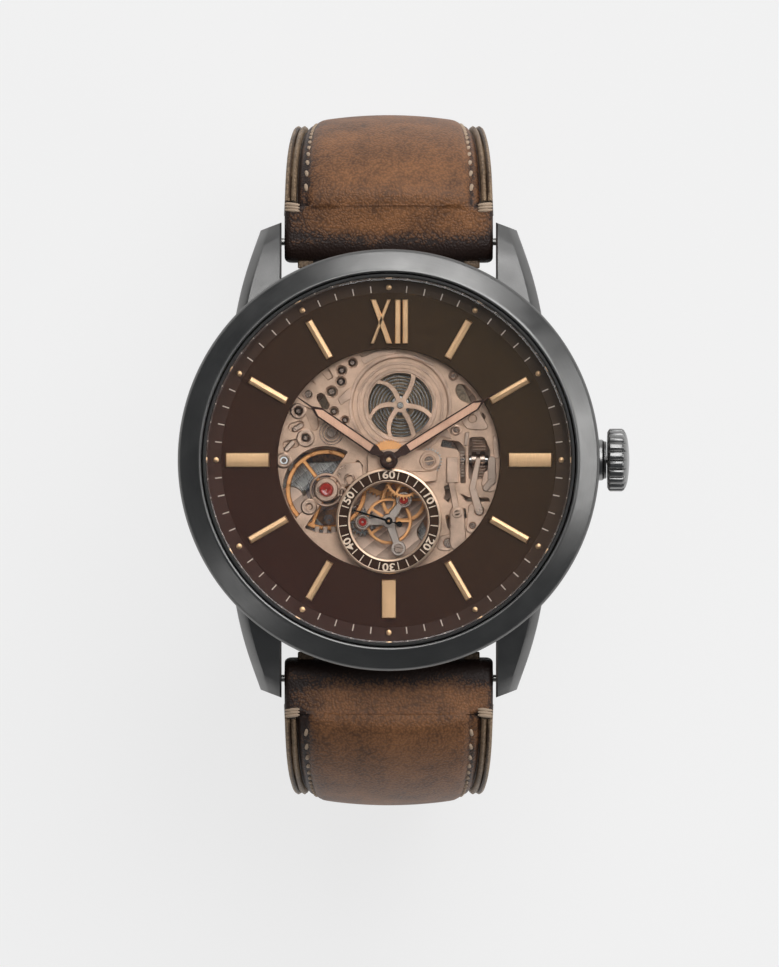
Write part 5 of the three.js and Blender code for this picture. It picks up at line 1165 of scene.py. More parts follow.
# ------------------------------------------------------------------ parts seen in the plate's windows
# Fixed steel details of the keyless works: a toothed column, the coiled spring of the setting lever,
# raised light lozenges and the liner plates under the balance.
column = [sheet([soft([(7.42, y), (7.86, y), (7.86, y + 0.2), (7.42, y + 0.2)], 0.03)], 7.7, 8.2, 0.03)
          for y in [-1.75 + 0.31 * i for i in range(9)]]
coils = [sheet([bar((8.75, y), (10.05, y), 0.1, 4)], 7.2, 7.6,
               0.08) for y in [-1.9 + 0.3 * i for i in range(5)]]
coils += [sheet([bar((8.75, y), (10.05, y), 0.1, 4)], 7.2, 7.6,
                0.08) for y in [1.1 + 0.3 * i for i in range(5)]]
liners = [sheet([soft([(-7.7 + 0.85 * i, -7.9), (-7.2 + 0.85 * i, -7.9), (-7.2 + 0.85 * i, -6.9),
                       (-7.7 + 0.85 * i, -6.9)], 0.08)], 7.3, 7.6, 0.05) for i in range(3)]
piece("column_and_spring_coils", column + coils + liners, lever_steel, "case_and_strap")
lozenges = [sheet([bar((-9.75, 3.2), (-9.1, 3.6), 0.3)], 8.05, 8.35, 0.12),
            sheet([bar((-10.6, 1.15), (-10.0, 1.8), 0.3)], 8.05, 8.35, 0.12),
            sheet([soft([(7.95, 2.9), (8.4, 2.9), (8.2, 1.5), (7.8, 1.5)], 0.12)], 8.1, 8.4, 0.06),
            sheet([bar((2.6, 10.8), (4.6, 9.9), 0.14)], 8.05, 8.25, 0.07)]
piece("raised_lozenges", lozenges, bright_steel, "case_and_strap")
dark_steel = brushed("shadowed_steel", (0.1, 0.1, 0.105), 0.4, lines=9.0)
spiral = [coil(0.12, 0.5, 2.5, 0.08, 8.0, 8.2, (-6.2, -6.2))]
piece("regulator_spiral", spiral, dark_steel, "case_and_strap")

# ------------------------------------------------------------------ winding rotor
# A striped half-round weight with a heavy rim, free on a ball bearing in the middle of the back.
rotor_steel = striped("striped_rotor", (0.55, 0.53, 0.5), 0.28, 1.1)
rotor_outline = arc(CENTRE, 13.0, 182, 358, 90) + [(10.5, -0.37)] + arc(CENTRE, 2.6, 0, 180,
                                                                        30) + [(-10.5, -0.37)]
web_windows = [soft(arc(CENTRE, 9.6, start, start + 42, 24) + arc(CENTRE, 5.2, start + 40, start + 2, 16),
                    0.4)
               for start in (200, 249, 298)]
rotor_web = sheet([soft(rotor_outline, 0.2), disc(CENTRE, 1.3, 48), *web_windows], 2.65, 3.0, 0.08)
rotor_rim = sheet([soft(arc(CENTRE, 13.2, 182, 358, 110) + arc(CENTRE, 10.4, 358, 182, 90), 0.3)], 1.9, 3.1,
                  0.16)
rotor_hub = turned([(1.3, 2.6), (2.3, 2.6), (2.3, 3.02), (1.3, 3.02)], 64)
piece("rotor_striped", [rotor_web, rotor_rim, rotor_hub], rotor_steel, "rotor", ["oscillating_weight"],
      sharp=24)
bearing_profile = [(0, 2.2), (1.2, 2.2), (1.2, 3.85), (0, 3.85)]
balls = [turned([(0, 2.34), (0.1, 2.37), (0.17, 2.45), (0.1, 2.55), (0, 2.57)], 12, polar(CENTRE, 1.42, a))
         for a in [math.radians(360 / 7 * i) for i in range(7)]]
bearing = [turned(eased(bearing_profile, 0.06), 48),
           turned(eased([(1.2, 2.2), (1.7, 2.2), (1.7, 2.3), (1.2, 2.3)], 0.03), 56)]
piece("rotor_bearing_turned", bearing + balls, screw_steel, "case_and_strap", ["rotor_bearing"])

# ------------------------------------------------------------------ dial
# A brass ring lacquered dark brown and satin, with a faint olive sheen painted into its colour towards the
# upper right, pierced in the middle to show the movement. Inside the raised outer step are printed minute
# lines and applied copper dots.
APERTURE_R = 11.55
DIAL_R = 18.9
STEP_R = 17.35
DIAL_TOP = 9.5


def lacquer_group():
    """Fine sunray brushing seen through coloured lacquer, with a painted sheen that pales it towards the
    upper right.
    """
    group, given, result = effect(
        "Lacquered sunray with painted sheen", [("Colour", "Color", (0.05, 0.03, 0.02, 1)),
                             ("Sheen", "Color", (0.06, 0.045, 0.025, 1))],
        [("Colour", "Color"), ("Roughness", "Float"), ("Normal", "Vector")])
    place = wire(group, "ShaderNodeTexCoord").outputs["Object"]
    part = wire(group, "ShaderNodeSeparateXYZ", {0: place})
    angle = wire(group, "ShaderNodeMath", {0: part.outputs[1], 1: part.outputs[0]},
                 operation="ARCTAN2").outputs[0]
    wide = wire(group, "ShaderNodeMath", {0: angle, 1: 90.0}, operation="MULTIPLY").outputs[0]
    rays = wire(group, "ShaderNodeTexNoise", {"W": wide, "Scale": 1.0, "Detail": 3.0}, noise_dimensions="1D")
    # Painted sheen: the colour turns towards the sheen colour on the upper right.
    slope = wire(group, "ShaderNodeVectorMath", {0: place, 1: (22.0, 22.0, 0)}, operation="DOT_PRODUCT")
    painted_sheen_side = wire(group, "ShaderNodeMapRange",
                {"Value": slope.outputs["Value"], "From Min": -0.5, "From Max": 0.62})
    dust = wire(group, "ShaderNodeTexNoise", {"Vector": place, "Scale": 5200.0, "Detail": 3.0})
    tone = wire(group, "ShaderNodeMix", {"Factor": painted_sheen_side.outputs["Result"], "A": given["Colour"],
                                         "B": given["Sheen"]}, data_type="RGBA")
    level = wire(group, "ShaderNodeMapRange", {"Value": rays.outputs["Fac"], "From Min": 0.3, "From Max": 0.7,
                                               "To Min": 0.92, "To Max": 1.08})
    fleck = wire(group, "ShaderNodeMapRange", {"Value": dust.outputs["Fac"], "From Min": 0.3, "From Max": 0.7,
                                               "To Min": 0.94, "To Max": 1.06})
    both = wire(group, "ShaderNodeMath", {0: level.outputs["Result"], 1: fleck.outputs["Result"]},
                operation="MULTIPLY")
    lacquer = wire(group, "ShaderNodeVectorMath", {0: tone.outputs["Result"], "Scale": both.outputs[0]},
                   operation="SCALE")
    rough = wire(group, "ShaderNodeMath", {0: fleck.outputs["Result"], 1: 0.42}, operation="MULTIPLY")
    bump = wire(group, "ShaderNodeBump",
                {"Height": dust.outputs["Fac"], "Strength": 0.15, "Distance": 0.00001})
    group.links.new(lacquer.outputs[0], result["Colour"])
    group.links.new(rough.outputs[0], result["Roughness"])
    group.links.new(bump.outputs["Normal"], result["Normal"])
    return group


LACQUER = lacquer_group()


def lacquered(name, colour, painted_sheen, **more):
    material, tree, bsdf = shader(name, colour, 0.42, 0.0, **more)
    coat = wire(tree, "ShaderNodeGroup", node_tree=LACQUER)
    coat.inputs["Colour"].default_value = (*colour, 1)
    coat.inputs["Sheen"].default_value = (*painted_sheen, 1)
    for output, socket in (("Colour", "Base Color"), ("Roughness", "Roughness"), ("Normal", "Normal")):
        tree.links.new(coat.outputs[output], bsdf.inputs[socket])
    return material


# The second colour of each lacquer is its painted sheen.
dial_lacquer = lacquered("dial_lacquer", (0.033, 0.0092, 0.0045), (0.038, 0.021, 0.0065),
                         Specular_IOR_Level=0.12)
band_lacquer = lacquered("minute_band_lacquer", (0.044, 0.015, 0.009), (0.05, 0.028, 0.012),
                         Specular_IOR_Level=0.2)
dial_profile = [(APERTURE_R, 9.1), (DIAL_R, 9.1), (DIAL_R, 9.44), (STEP_R + 0.06, 9.44), (STEP_R, DIAL_TOP),
                (APERTURE_R + 0.12, DIAL_TOP), (APERTURE_R, 9.38)]
piece("dial_ring", [turned(dial_profile, 256)], dial_lacquer, "case_and_strap", ["dial"],
      sharp=24)
band = turned([(STEP_R, 9.43), (DIAL_R, 9.43), (DIAL_R, 9.47), (STEP_R + 0.04, 9.47)], 256)
piece("minute_band", [band], band_lacquer, "case_and_strap")
aperture_edge = turned([(APERTURE_R, 9.12), (APERTURE_R + 0.1, 9.36), (APERTURE_R + 0.1, 9.52),
                        (APERTURE_R - 0.02, 9.4)],
                       256)
piece("aperture_chamfer", [aperture_edge], band_lacquer, "case_and_strap")


def radial(angle, inner, outer, half, low, high, chamfer):
    """A flat strip lying along a radius; the angle runs clockwise from twelve."""
    a = math.radians(90 - angle)
    c, s = math.cos(a), math.sin(a)
    corners = [(inner, -half), (outer, -half), (outer, half), (inner, half)]
    return sheet([[(x * c - y * s, x * s + y * c) for x, y in corners]], low, high, chamfer)


print_cream, print_tree, print_bsdf = shader("printed_cream", (0.3, 0.2, 0.15), 0.6)
ink = wire(print_tree, "ShaderNodeTexNoise", {"Scale": 6000.0, "Detail": 2.0})
ink_tone = wire(print_tree, "ShaderNodeMix", {"Factor": ink.outputs["Fac"], "A": (0.5, 0.4, 0.33, 1),
                                             "B": (0.75, 0.62, 0.52, 1)}, data_type="RGBA")
print_tree.links.new(ink_tone.outputs["Result"], print_bsdf.inputs["Base Color"])
minute_lines = [radial(6 * i, 17.45, 18.15, 0.055, 9.455, 9.49, 0.005) for i in range(60) if i % 5]
piece("minute_lines", minute_lines, print_cream, "case_and_strap")

# ------------------------------------------------------------------ hour marks and numeral
# Applied marks of rose-gold-plated brass, each a bar with a ridge along it: one half catches the
# light, the other is in shade. Twelve o'clock has a large riveted Roman numeral instead.
gilt = brushed("rose_gilt", (0.92, 0.58, 0.32), 0.36, around=0.0, lines=12.0, depth=0.1)


def ridge(angle, inner, outer, half, low=9.5, high=9.82):
    """A bar along a radius, roofed with two slopes and bevelled at both ends."""
    rings = []
    for at, scale in ((inner, 0.0), (inner + 0.12, 1.0), (outer - 0.12, 1.0), (outer, 0.0)):
        shoulder, top = low + 0.1 + 0.12 * scale, low + 0.1 + (high - low - 0.1) * scale
        rings.append([(at, -half, low), (at, -half, shoulder - 0.03), (at, 0.06 - half, top - 0.05),
                      (at, 0.1 * half, top), (at, half - 0.06, top - 0.05), (at, half, shoulder - 0.03),
                      (at, half, low)])
    return moved(loft(rings), Matrix.Rotation(math.radians(90 - angle), 4, "Z"))


marks = []
for hour in range(1, 12):
    wide = hour % 3 == 0
    outer = 16.5 if hour == 6 else 17.0 if wide else 16.75
    marks.append(ridge(30 * hour, 12.4 if wide else 12.2, outer, 0.74 if wide else 0.39))
piece("hour_marks", marks, gilt, "case_and_strap", sharp=15)
dots = [turned([(0, 9.47), (0.29, 9.47), (0.29, 9.56), (0.2, 9.62), (0, 9.63)], 24,
               polar(CENTRE, 17.95, math.radians(30 * i))) for i in range(12)]
piece("hour_dots", dots, gilt, "case_and_strap")


def stroke(bottom_x, top_x, half, low_y=12.1, high_y=16.7):
    outline = [(bottom_x - half, low_y), (bottom_x + half, low_y), (top_x + half, high_y),
               (top_x - half, high_y)]
    return sheet([outline], 9.52, 9.84, 0.07)


numeral = [stroke(0.04, -1.62, 0.3), stroke(-1.72, 0.02, 0.19), stroke(0.93, 0.93, 0.28),
           stroke(1.72, 1.72, 0.28)]
piece("numeral_twelve_applied", numeral, gilt, "case_and_strap", ["numeral_12"])

# ------------------------------------------------------------------ rehaut ring
# A sloping inner flange between dial and crystal, bright along its lower edge.
flange_steel = brushed("flange_steel", (0.2, 0.195, 0.19), 0.3, lines=10.0, depth=0.15)
flange = eased([(18.9, 9.55), (19.4, 9.55), (19.4, 10.95), (19.1, 10.95), (18.92, 9.75)], 0.05)
piece("rehaut_flange", [turned(flange, 256)], flange_steel, "case_and_strap", ["rehaut_ring"])

# ------------------------------------------------------------------ small-seconds ring
# A raised brown ring with bright copper bevels inside and out; its scale of ten-second numerals
# and paired lines is printed in cream, every figure reading outwards.
SECONDS_AT = FOURTH
ring_edge = brushed("ring_copper_bevel", (1.0, 0.7, 0.5), 0.34, lines=9.0, depth=0.15, centre=SECONDS_AT)
face_profile = [(4.12, 9.1), (5.36, 9.1), (5.36, 9.78), (5.2, 9.8), (4.28, 9.8), (4.12, 9.78)]
piece("seconds_ring_face", [turned(face_profile, 192, SECONDS_AT)], dial_lacquer, "case_and_strap",
      ["seconds_ring"], sharp=24)
bevels = [turned([(5.3, 9.15), (5.5, 9.15), (5.5, 9.72), (5.44, 9.8), (5.26, 9.86), (5.22, 9.84), (5.3, 9.7)],
                 192,
                 SECONDS_AT),
          turned([(4.2, 9.15), (4.0, 9.15), (4.0, 9.72), (4.06, 9.8), (4.2, 9.86), (4.24, 9.84), (4.2, 9.7)],
                 192,
                 SECONDS_AT)]
piece("seconds_ring_bevels", bevels, ring_edge, "case_and_strap", sharp=20)
cream, cream_tree, cream_bsdf = shader("scale_cream", (0.72, 0.55, 0.42), 0.55)
cream_ink = wire(cream_tree, "ShaderNodeTexNoise", {"Scale": 7000.0, "Detail": 2.0})
cream_tone = wire(cream_tree, "ShaderNodeMix", {"Factor": cream_ink.outputs["Fac"], "A": (0.6, 0.44, 0.32, 1),
                                               "B": (0.8, 0.64, 0.5, 1)}, data_type="RGBA")
cream_tree.links.new(cream_tone.outputs["Result"], cream_bsdf.inputs["Base Color"])


def printed(text, size, at, turn, z):
    """Text cut as a thin layer of print, centred on a point and turned."""
    curve = bpy.data.curves.new("print", "FONT")
    curve.body = text
    curve.size = size
    curve.align_x = "CENTER"
    curve.align_y = "CENTER"
    curve.extrude = 0.01
    curve.offset = 0.022
    curve.resolution_u = 3
    obj = bpy.data.objects.new("print", curve)
    bpy.context.scene.collection.objects.link(obj)
    shape = bpy.data.meshes.new_from_object(obj.evaluated_get(bpy.context.evaluated_depsgraph_get()))
    place = Matrix.Translation((*at, z)) @ Matrix.Rotation(turn, 4, "Z") @ Matrix.Diagonal((1.22, 1, 1, 1))
    out = [tuple(place @ v.co) for v in shape.vertices], [tuple(p.vertices) for p in shape.polygons]
    bpy.data.objects.remove(obj)
    bpy.data.curves.remove(curve)
    bpy.data.meshes.remove(shape)
    return out


scale = []
for i in range(6):
    a = math.radians(90 - 60 * i)
    text = str(10 * i or 60)
    scale.append(printed(text, 1.12, polar(SECONDS_AT, 4.76, a), a - math.pi / 2, 9.815))
for i in range(30):
    lean = (12 * i) % 60
    if lean:
        a = math.radians(90 - 12 * i)
        short = lean in (12, 48)
        start, end = polar(SECONDS_AT, 4.42, a), polar(SECONDS_AT, 5.12 if short else 5.16, a)
        scale.append(sheet([bar(start, end, 0.05, 4)], 9.8, 9.825, 0.004))
piece("seconds_scale", scale, cream, "case_and_strap")

# ------------------------------------------------------------------ hands
# Dark brown hour and minute hands with a rose-gilt inlay down the middle, and a thin black small
# seconds hand with a round counterweight. They show nine minutes past ten.
# The second colour is a faint painted sheen.
hand_lacquer = lacquered("hand_lacquer", (0.032, 0.0105, 0.006), (0.034, 0.012, 0.007),
                         Specular_IOR_Level=0.25)
inlay = brushed("hand_inlay", (1.0, 0.6, 0.42), 0.34, around=0.0, lines=12.0, depth=0.08)
HOUR_ANGLE, MINUTE_ANGLE, SECOND_ANGLE = 304.5, 58, 287


def spun(parts, angle, at=CENTRE):
    """Parts made pointing along +Y, turned clockwise to an angle about a centre."""
    turn = Matrix.Translation((*at, 0)) @ Matrix.Rotation(math.radians(-angle), 4, "Z")
    return [moved(part, turn) for part in parts]


def hand(hub, bore, half, shoulder, tip, low, high):
    """A baton hand with a hub, a waist and a needle tip."""
    right = [(0.34, hub * 0.8), (0.34, 1.3), (half, 1.75), (half, shoulder), (0.1, shoulder + 0.95),
             (0.045, tip)]
    blade = sheet([[*right, *[(-x, y) for x, y in reversed(right)]]], low, high, 0.045)
    boss_profile = [(bore, low), (hub, low), (hub, high + 0.02), (hub - 0.1, high + 0.08),
                    (bore + 0.14, high + 0.08),
                    (bore, high)]
    return [blade, turned(boss_profile, 56)]


def inlay_strip(inner, shoulder, half, high):
    outline = [(-half, inner), (half, inner), (half, shoulder), (0, shoulder + 0.75), (-half, shoulder)]
    return sheet([outline], high - 0.02, high + 0.05, 0.03)


H_HOUR = (9.95, 10.15)
H_MINUTE = (10.4, 10.6)
piece("hour_hand_lacquered", spun(hand(0.95, 0.62, 0.54, 8.8, 11.5, *H_HOUR), HOUR_ANGLE), hand_lacquer,
      "hour_works", ["hour_hand"])
piece("hour_hand_inlay", spun([inlay_strip(2.15, 8.6, 0.39, H_HOUR[1])], HOUR_ANGLE), inlay, "hour_works")
piece("minute_hand_lacquered", spun(hand(0.8, 0.33, 0.5, 10.7, 13.6, *H_MINUTE), MINUTE_ANGLE), hand_lacquer,
      "minute_works", ["minute_hand"])
piece("minute_hand_inlay", spun([inlay_strip(2.4, 10.6, 0.37, H_MINUTE[1])], MINUTE_ANGLE), inlay,
      "minute_works")
centre_cap = turned([(0, 10.6), (0.27, 10.6), (0.27, 10.72), (0.2, 10.78), (0, 10.8)], 28)
piece("centre_pin", [centre_cap], gilt, "minute_works")
needle_right = [(0.13, 0), (0.07, 3.8)]
needle = [sheet([[*needle_right, *[(-x, y) for x, y in reversed(needle_right)]]], 9.62, 9.74, 0.02),
          sheet([bar((0, 0), (0, -1.1), 0.08)], 9.61, 9.73, 0.02),
          sheet([disc((0, -1.15), 0.3, 28)], 9.62, 9.76, 0.03),
          turned([(0, 9.5), (0.4, 9.5), (0.4, 9.78), (0.3, 9.84), (0, 9.84)], 32)]
black_enamel = brushed("black_enamel", (0.012, 0.011, 0.011), 0.3, around=0.0, lines=8.0, depth=0.05)
piece("second_hand_black", spun(needle, SECOND_ANGLE, SECONDS_AT), black_enamel, "fourth_train",
      ["second_hand"])

# ------------------------------------------------------------------ strap linings
# Each half of the strap has a tan lining, thick under the padding and thin towards the buckle,
# whose two ridged edges show beside the narrower cover. Heights here are counted from the plane on
# which the buckled strap stands.
INNER_FACE = [[(25.4, 42.4), (29.2, 40.6), (31.2, 33.6), (31.2, 27)],
              [(31.2, 27), (31.2, 13), (26, 5), (15, 5)]]
TWELVE_FACE = INNER_FACE + [[(15, 5), (8.8, 5), (2.6, 5), (-3.6, 5)]]
SIX_FACE = INNER_FACE + [[(15, 5), (12.7, 5), (10.8, 2.75), (8.5, 2.75)],
                         [(8.5, 2.75), (0, 2.75), (-8.5, 2.75), (-17, 2.75)]]
TWELVE_THIN, SIX_THIN = (0.3, 0.65), (0.25, 0.55)
WIDTHS = [(-2, 9), (8, 9), (28, 9.85), (42.5, 10.95), (60, 10.95)]  # height, half width
PAD_INSET = 1.35
STRAP_BAR = (22.8, 44)


def half_width(z):
    for (z0, w0), (z1, w1) in zip(WIDTHS, WIDTHS[1:]):
        if z <= z1:
            return w0 + (w1 - w0) * (z - z0) / (z1 - z0)
    return WIDTHS[-1][1]


def inner_face(curves, pitch=0.6):
    """Evenly spaced (y, z, outward y, outward z, fraction of the length) along joined Bezier curves."""
    dense = []
    for p0, p1, p2, p3 in curves:
        for i in range(100):
            t = i / 100
            q = [(1 - t) ** 3, 3 * t * (1 - t) ** 2, 3 * t * t * (1 - t), t ** 3]
            dense.append(Vector([sum(k * p[n] for k, p in zip(q, (p0, p1, p2, p3))) for n in (0, 1)]))
    dense.append(Vector(curves[-1][3]))
    run = [0.0]
    for a, b in zip(dense, dense[1:]):
        run.append(run[-1] + (b - a).length)
    count = round(run[-1] / pitch)
    rows, k = [], 0
    for i in range(count + 1):
        s = run[-1] * i / count
        while k < len(run) - 2 and run[k + 1] < s:
            k += 1
        t = (s - run[k]) / (run[k + 1] - run[k])
        at, along = dense[k].lerp(dense[k + 1], t), (dense[k + 1] - dense[k]).normalized()
        rows.append((at.x, at.y, -along.y, along.x, i / count))
    return rows


def base_thickness(u, thin):
    t = min(1, max(0, (u - thin[0]) / (thin[1] - thin[0])))
    return 3.2 + (0.9 - 3.2) * t * t * (3 - 2 * t)


def tail_width(y):
    """Half width left by the rounded tip of the six half."""
    if y < 9:
        return 20
    t = 0.0
    while (1 - t) ** 2 * 9 + 2 * t * (1 - t) * 16 + t * t * 17 < y and t < 1:
        t += 0.01
    return max(0.4, (1 - t) ** 2 * 9 + 2 * t * (1 - t) * 8.6)


def lining_ring(row, side, thick, half, inside):
    """A cross-section of the lining, with two rounded ridges along each edge; inside is lower."""
    y, z, ny, nz, _ = row
    edge = [(0, 0.3), (0.08, thick - 0.4), (0.16, thick - 0.12), (0.35, thick), (0.56, thick - 0.12),
            (0.68, thick - 0.42), (0.8, thick - 0.12), (1.0, thick), (1.2, thick - 0.15), (1.32, inside)]
    half = max(half, 1.6)
    top = [(-half + d, h) for d, h in edge] + [(half - d, h) for d, h in reversed(edge)]
    section = [(-half + 0.3, 0)] + top + [(half - 0.3, 0)]
    return [(x, side * (y + ny * h), z + nz * h) for x, h in section]


def leather_group():
    """Pebbled grain with fine creases, darker where the mesh carries tone and painted shade."""
    group, given, result = effect(
        "Grained leather",
        [("Light", "Color", (0.3, 0.15, 0.08, 1)), ("Dark", "Color", (0.06, 0.03, 0.02, 1)),
         ("Burnish", "Float", 0.0),
         ("Depth", "Float", 0.5)],
        [("Colour", "Color"), ("Roughness", "Float"), ("Normal", "Vector")])
    place = wire(group, "ShaderNodeTexCoord").outputs["Object"]
    warp = wire(group, "ShaderNodeTexNoise", {"Vector": place, "Scale": 900.0, "Detail": 2.0})
    wavy = wire(group, "ShaderNodeVectorMath", {0: warp.outputs["Color"], "Scale": 0.0006}, operation="SCALE")
    pebble_at = wire(group, "ShaderNodeVectorMath", {0: place, 1: wavy.outputs[0]}, operation="ADD")
    pebbles = wire(group, "ShaderNodeTexVoronoi", {"Vector": pebble_at.outputs[0], "Scale": 3800.0},
                   feature="F1")
    fine = wire(group, "ShaderNodeTexNoise", {"Vector": place, "Scale": 5200.0, "Detail": 4.0})
    cloud = wire(group, "ShaderNodeTexNoise",
                 {"Vector": place, "Scale": 260.0, "Detail": 5.0, "Roughness": 0.65})
    swell = wire(group, "ShaderNodeMapRange",
                 {"Value": pebbles.outputs["Distance"], "From Max": 0.75, "To Min": 1.0,
                                               "To Max": 0.0})
    height = wire(group, "ShaderNodeMath", {0: fine.outputs["Fac"], 1: 0.4, 2: swell.outputs["Result"]},
                  operation="MULTIPLY_ADD")
    patch = wire(group, "ShaderNodeMapRange",
                 {"Value": cloud.outputs["Fac"], "From Min": 0.32, "From Max": 0.68,
                                               "To Min": 0.45, "To Max": 0.0})
    # Random darker patches, plus the tone and painted shade read from the mesh.
    dark = wire(group, "ShaderNodeMath", {0: patch.outputs["Result"], 1: given["Burnish"]}, operation="ADD")
    crease = wire(group, "ShaderNodeMapRange", {"Value": height.outputs[0], "From Min": 0.2, "From Max": 0.8,
                                                "To Min": 0.35, "To Max": 0.0})
    total = wire(group, "ShaderNodeMath", {0: dark.outputs[0], 1: crease.outputs["Result"]}, operation="ADD",
                 use_clamp=True)
    tone = wire(group, "ShaderNodeMix", {"Factor": total.outputs[0], "A": given["Light"], "B": given["Dark"]},
                data_type="RGBA")
    rough = wire(group, "ShaderNodeMapRange", {"Value": fine.outputs["Fac"], "To Min": 0.42, "To Max": 0.62})
    bump = wire(group, "ShaderNodeBump", {"Height": height.outputs[0], "Strength": given["Depth"],
                                          "Distance": 0.00012})
    group.links.new(tone.outputs["Result"], result["Colour"])
    group.links.new(rough.outputs["Result"], result["Roughness"])
    group.links.new(bump.outputs["Normal"], result["Normal"])
    return group


LEATHER = leather_group()


def leather(name, light, dark, depth=0.5):
    """Leather that reads how dark it is, as tone and painted shade, from the mesh."""
    material, tree, bsdf = shader(name, light, 0.5, 0.0)
    bsdf.inputs["Specular IOR Level"].default_value = 0.4
    hide = wire(tree, "ShaderNodeGroup", node_tree=LEATHER)
    hide.inputs["Light"].default_value = (*light, 1)
    hide.inputs["Dark"].default_value = (*dark, 1)
    hide.inputs["Depth"].default_value = depth
    burnish = wire(tree, "ShaderNodeAttribute", attribute_name="burnish")
    tree.links.new(burnish.outputs["Fac"], hide.inputs["Burnish"])
    for output, socket in (("Colour", "Base Color"), ("Roughness", "Roughness"), ("Normal", "Normal")):
        tree.links.new(hide.outputs[output], bsdf.inputs[socket])
    return material


def burnished(obj, amount):
    """Writes how dark the leather is at each point, as tone and painted shade; amount takes x, |y| and z in
    millimetres.
    """
    layer = obj.data.attributes.new("burnish", "FLOAT", "POINT")
    for value, vertex in zip(layer.data, obj.data.vertices):
        x, y, z = (c / MM for c in vertex.co)
        value.value = amount(x, abs(y), z)
    return obj


def cut_through(obj, cutters):
    """Cuts closed parts, in millimetres, out of a piece."""
    for part in cutters:
        tool = piece("cutter", [part], obj.data.materials[0], "case_and_strap", lift=0)
        cut = obj.modifiers.new("cut", "BOOLEAN")
        cut.object = tool
        cut.solver = "EXACT"
        shape = bpy.data.meshes.new_from_object(obj.evaluated_get(bpy.context.evaluated_depsgraph_get()))
        shape.name = obj.name
        obj.modifiers.clear()
        obj.data = shape
        bpy.data.objects.remove(tool)
    return obj


def post(r, low, high, at):
    return turned([(0, low), (r, low), (r, high), (0, high)], 24, at)


tan_leather = leather("tan_lining", (0.46, 0.32, 0.2), (0.06, 0.035, 0.02), 0.3)
twelve_rows, six_rows = inner_face(TWELVE_FACE), inner_face(SIX_FACE)


def padding_top(u, thin):
    """The lining's thick edges stand up beside the padded cover."""
    return base_thickness(u, thin) + 0.75 * min(1, max(0, (base_thickness(u, thin) - 0.9) / 2.3))


lining_12 = loft([lining_ring(row, 1, padding_top(row[4], TWELVE_THIN), half_width(row[1]),
                              base_thickness(row[4], TWELVE_THIN) - 0.3) for row in twelve_rows])
lining_6 = loft([lining_ring(row, -1, padding_top(row[4], SIX_THIN),
                             min(half_width(row[1]), tail_width(-row[0])),
                             base_thickness(row[4], SIX_THIN) - 0.3) for row in six_rows])
strap_holes = [post(0.8, 0.2, 2.95, (0, y)) for y in (1, 7, 13)] + [
    sheet([bar((0, -12.5), (0, -7.3), 1.0)], 0.2, 5.5, 0.01)]
lining_obj_12 = piece("strap_12_lining_ridged", [lining_12], tan_leather, "case_and_strap",
                      ["strap_12_lining"],
                      lift=0, sharp=60)
lining_obj_6 = cut_through(piece("strap_6_lining_ridged", [lining_6], tan_leather, "case_and_strap",
                                 ["strap_6_lining"], lift=0, sharp=60), strap_holes)
for obj in (lining_obj_12, lining_obj_6):
    # Painted shade in the groove between each edge's two ridges; an even, slightly darker tone elsewhere.
    burnished(obj, lambda x, y, z: 0.85 if abs(abs(x) - half_width(z) + 0.68) < 0.1 else 0.12)
tabs = [sheet([soft([(sx * 8.7 - 0.8, sy * 20.02), (sx * 8.7 + 0.8, sy * 20.02), (sx * 8.7 + 0.8, sy * 21.3),
                     (sx * 8.7 - 0.8, sy * 21.3)], 0.15)], 43.3, 44.9, 0.12) for sx in (-1, 1) for sy in (-1,
                                                                                                          1)]
burnished(piece("spring_bar_tabs", tabs, tan_leather, "case_and_strap", lift=0),
          lambda x, y, z: 0.3)

# ------------------------------------------------------------------ strap covers
# Grained brown leather, folded round the spring bar at full width, then raised over padding and
# sewn down along both sides. Painted shade turns it almost black at the lugs. The twelve half ends in a
# slotted fold round the buckle bar; the six half ends in a rounded tip with punched holes.
brown_leather = leather("brown_leather", (0.34, 0.145, 0.055), (0.022, 0.01, 0.007), 0.4)


def cover_ring(row, side, thick, half, crown, roll, groove=0.0, middle=0.0):
    """A cross-section of the cover; roll is (width, height) of its rounded edge."""
    y, z, ny, nz = row[:4]
    top = []
    steps = 40
    for i in range(steps + 1):
        x = half * math.sin(math.pi / 2 * (2 * i / steps - 1))
        d = half - abs(x)
        h = crown * (1 - (x / half) ** 2)
        if d < roll[0]:
            h -= roll[1] * (1 - math.sqrt(max(0, 1 - (1 - d / roll[0]) ** 2)))
        h -= groove * math.exp(-((d - 0.95) / 0.22) ** 2)
        top.append((middle + x, h))
    section = top + [(middle + half, -thick), (middle - half, -thick)]
    return [(x, side * (y + ny * h), z + nz * h) for x, h in section]


def flap_rows():
    """The fold round the spring bar and the flat flap, as rows on the outer surface."""
    rows = []
    for i in range(19):
        a = math.radians(-90 - 10 * i)
        rows.append((STRAP_BAR[0] + 2.2 * math.cos(a), STRAP_BAR[1] + 2.2 * math.sin(a), math.cos(a),
                     math.sin(a)))
    for i in range(1, 9):
        rows.append((STRAP_BAR[0] + 3.7 * i / 8, 46.2, 0.0, 1.0))
    return rows


def cover_rows(rows, thin):
    """Rows on the outer surface of the padded part."""
    out = []
    for y, z, ny, nz, u in rows:
        top = base_thickness(u, thin) + 1.1
        out.append((y + ny * top, z + nz * top, ny, nz, u, z))
    return out


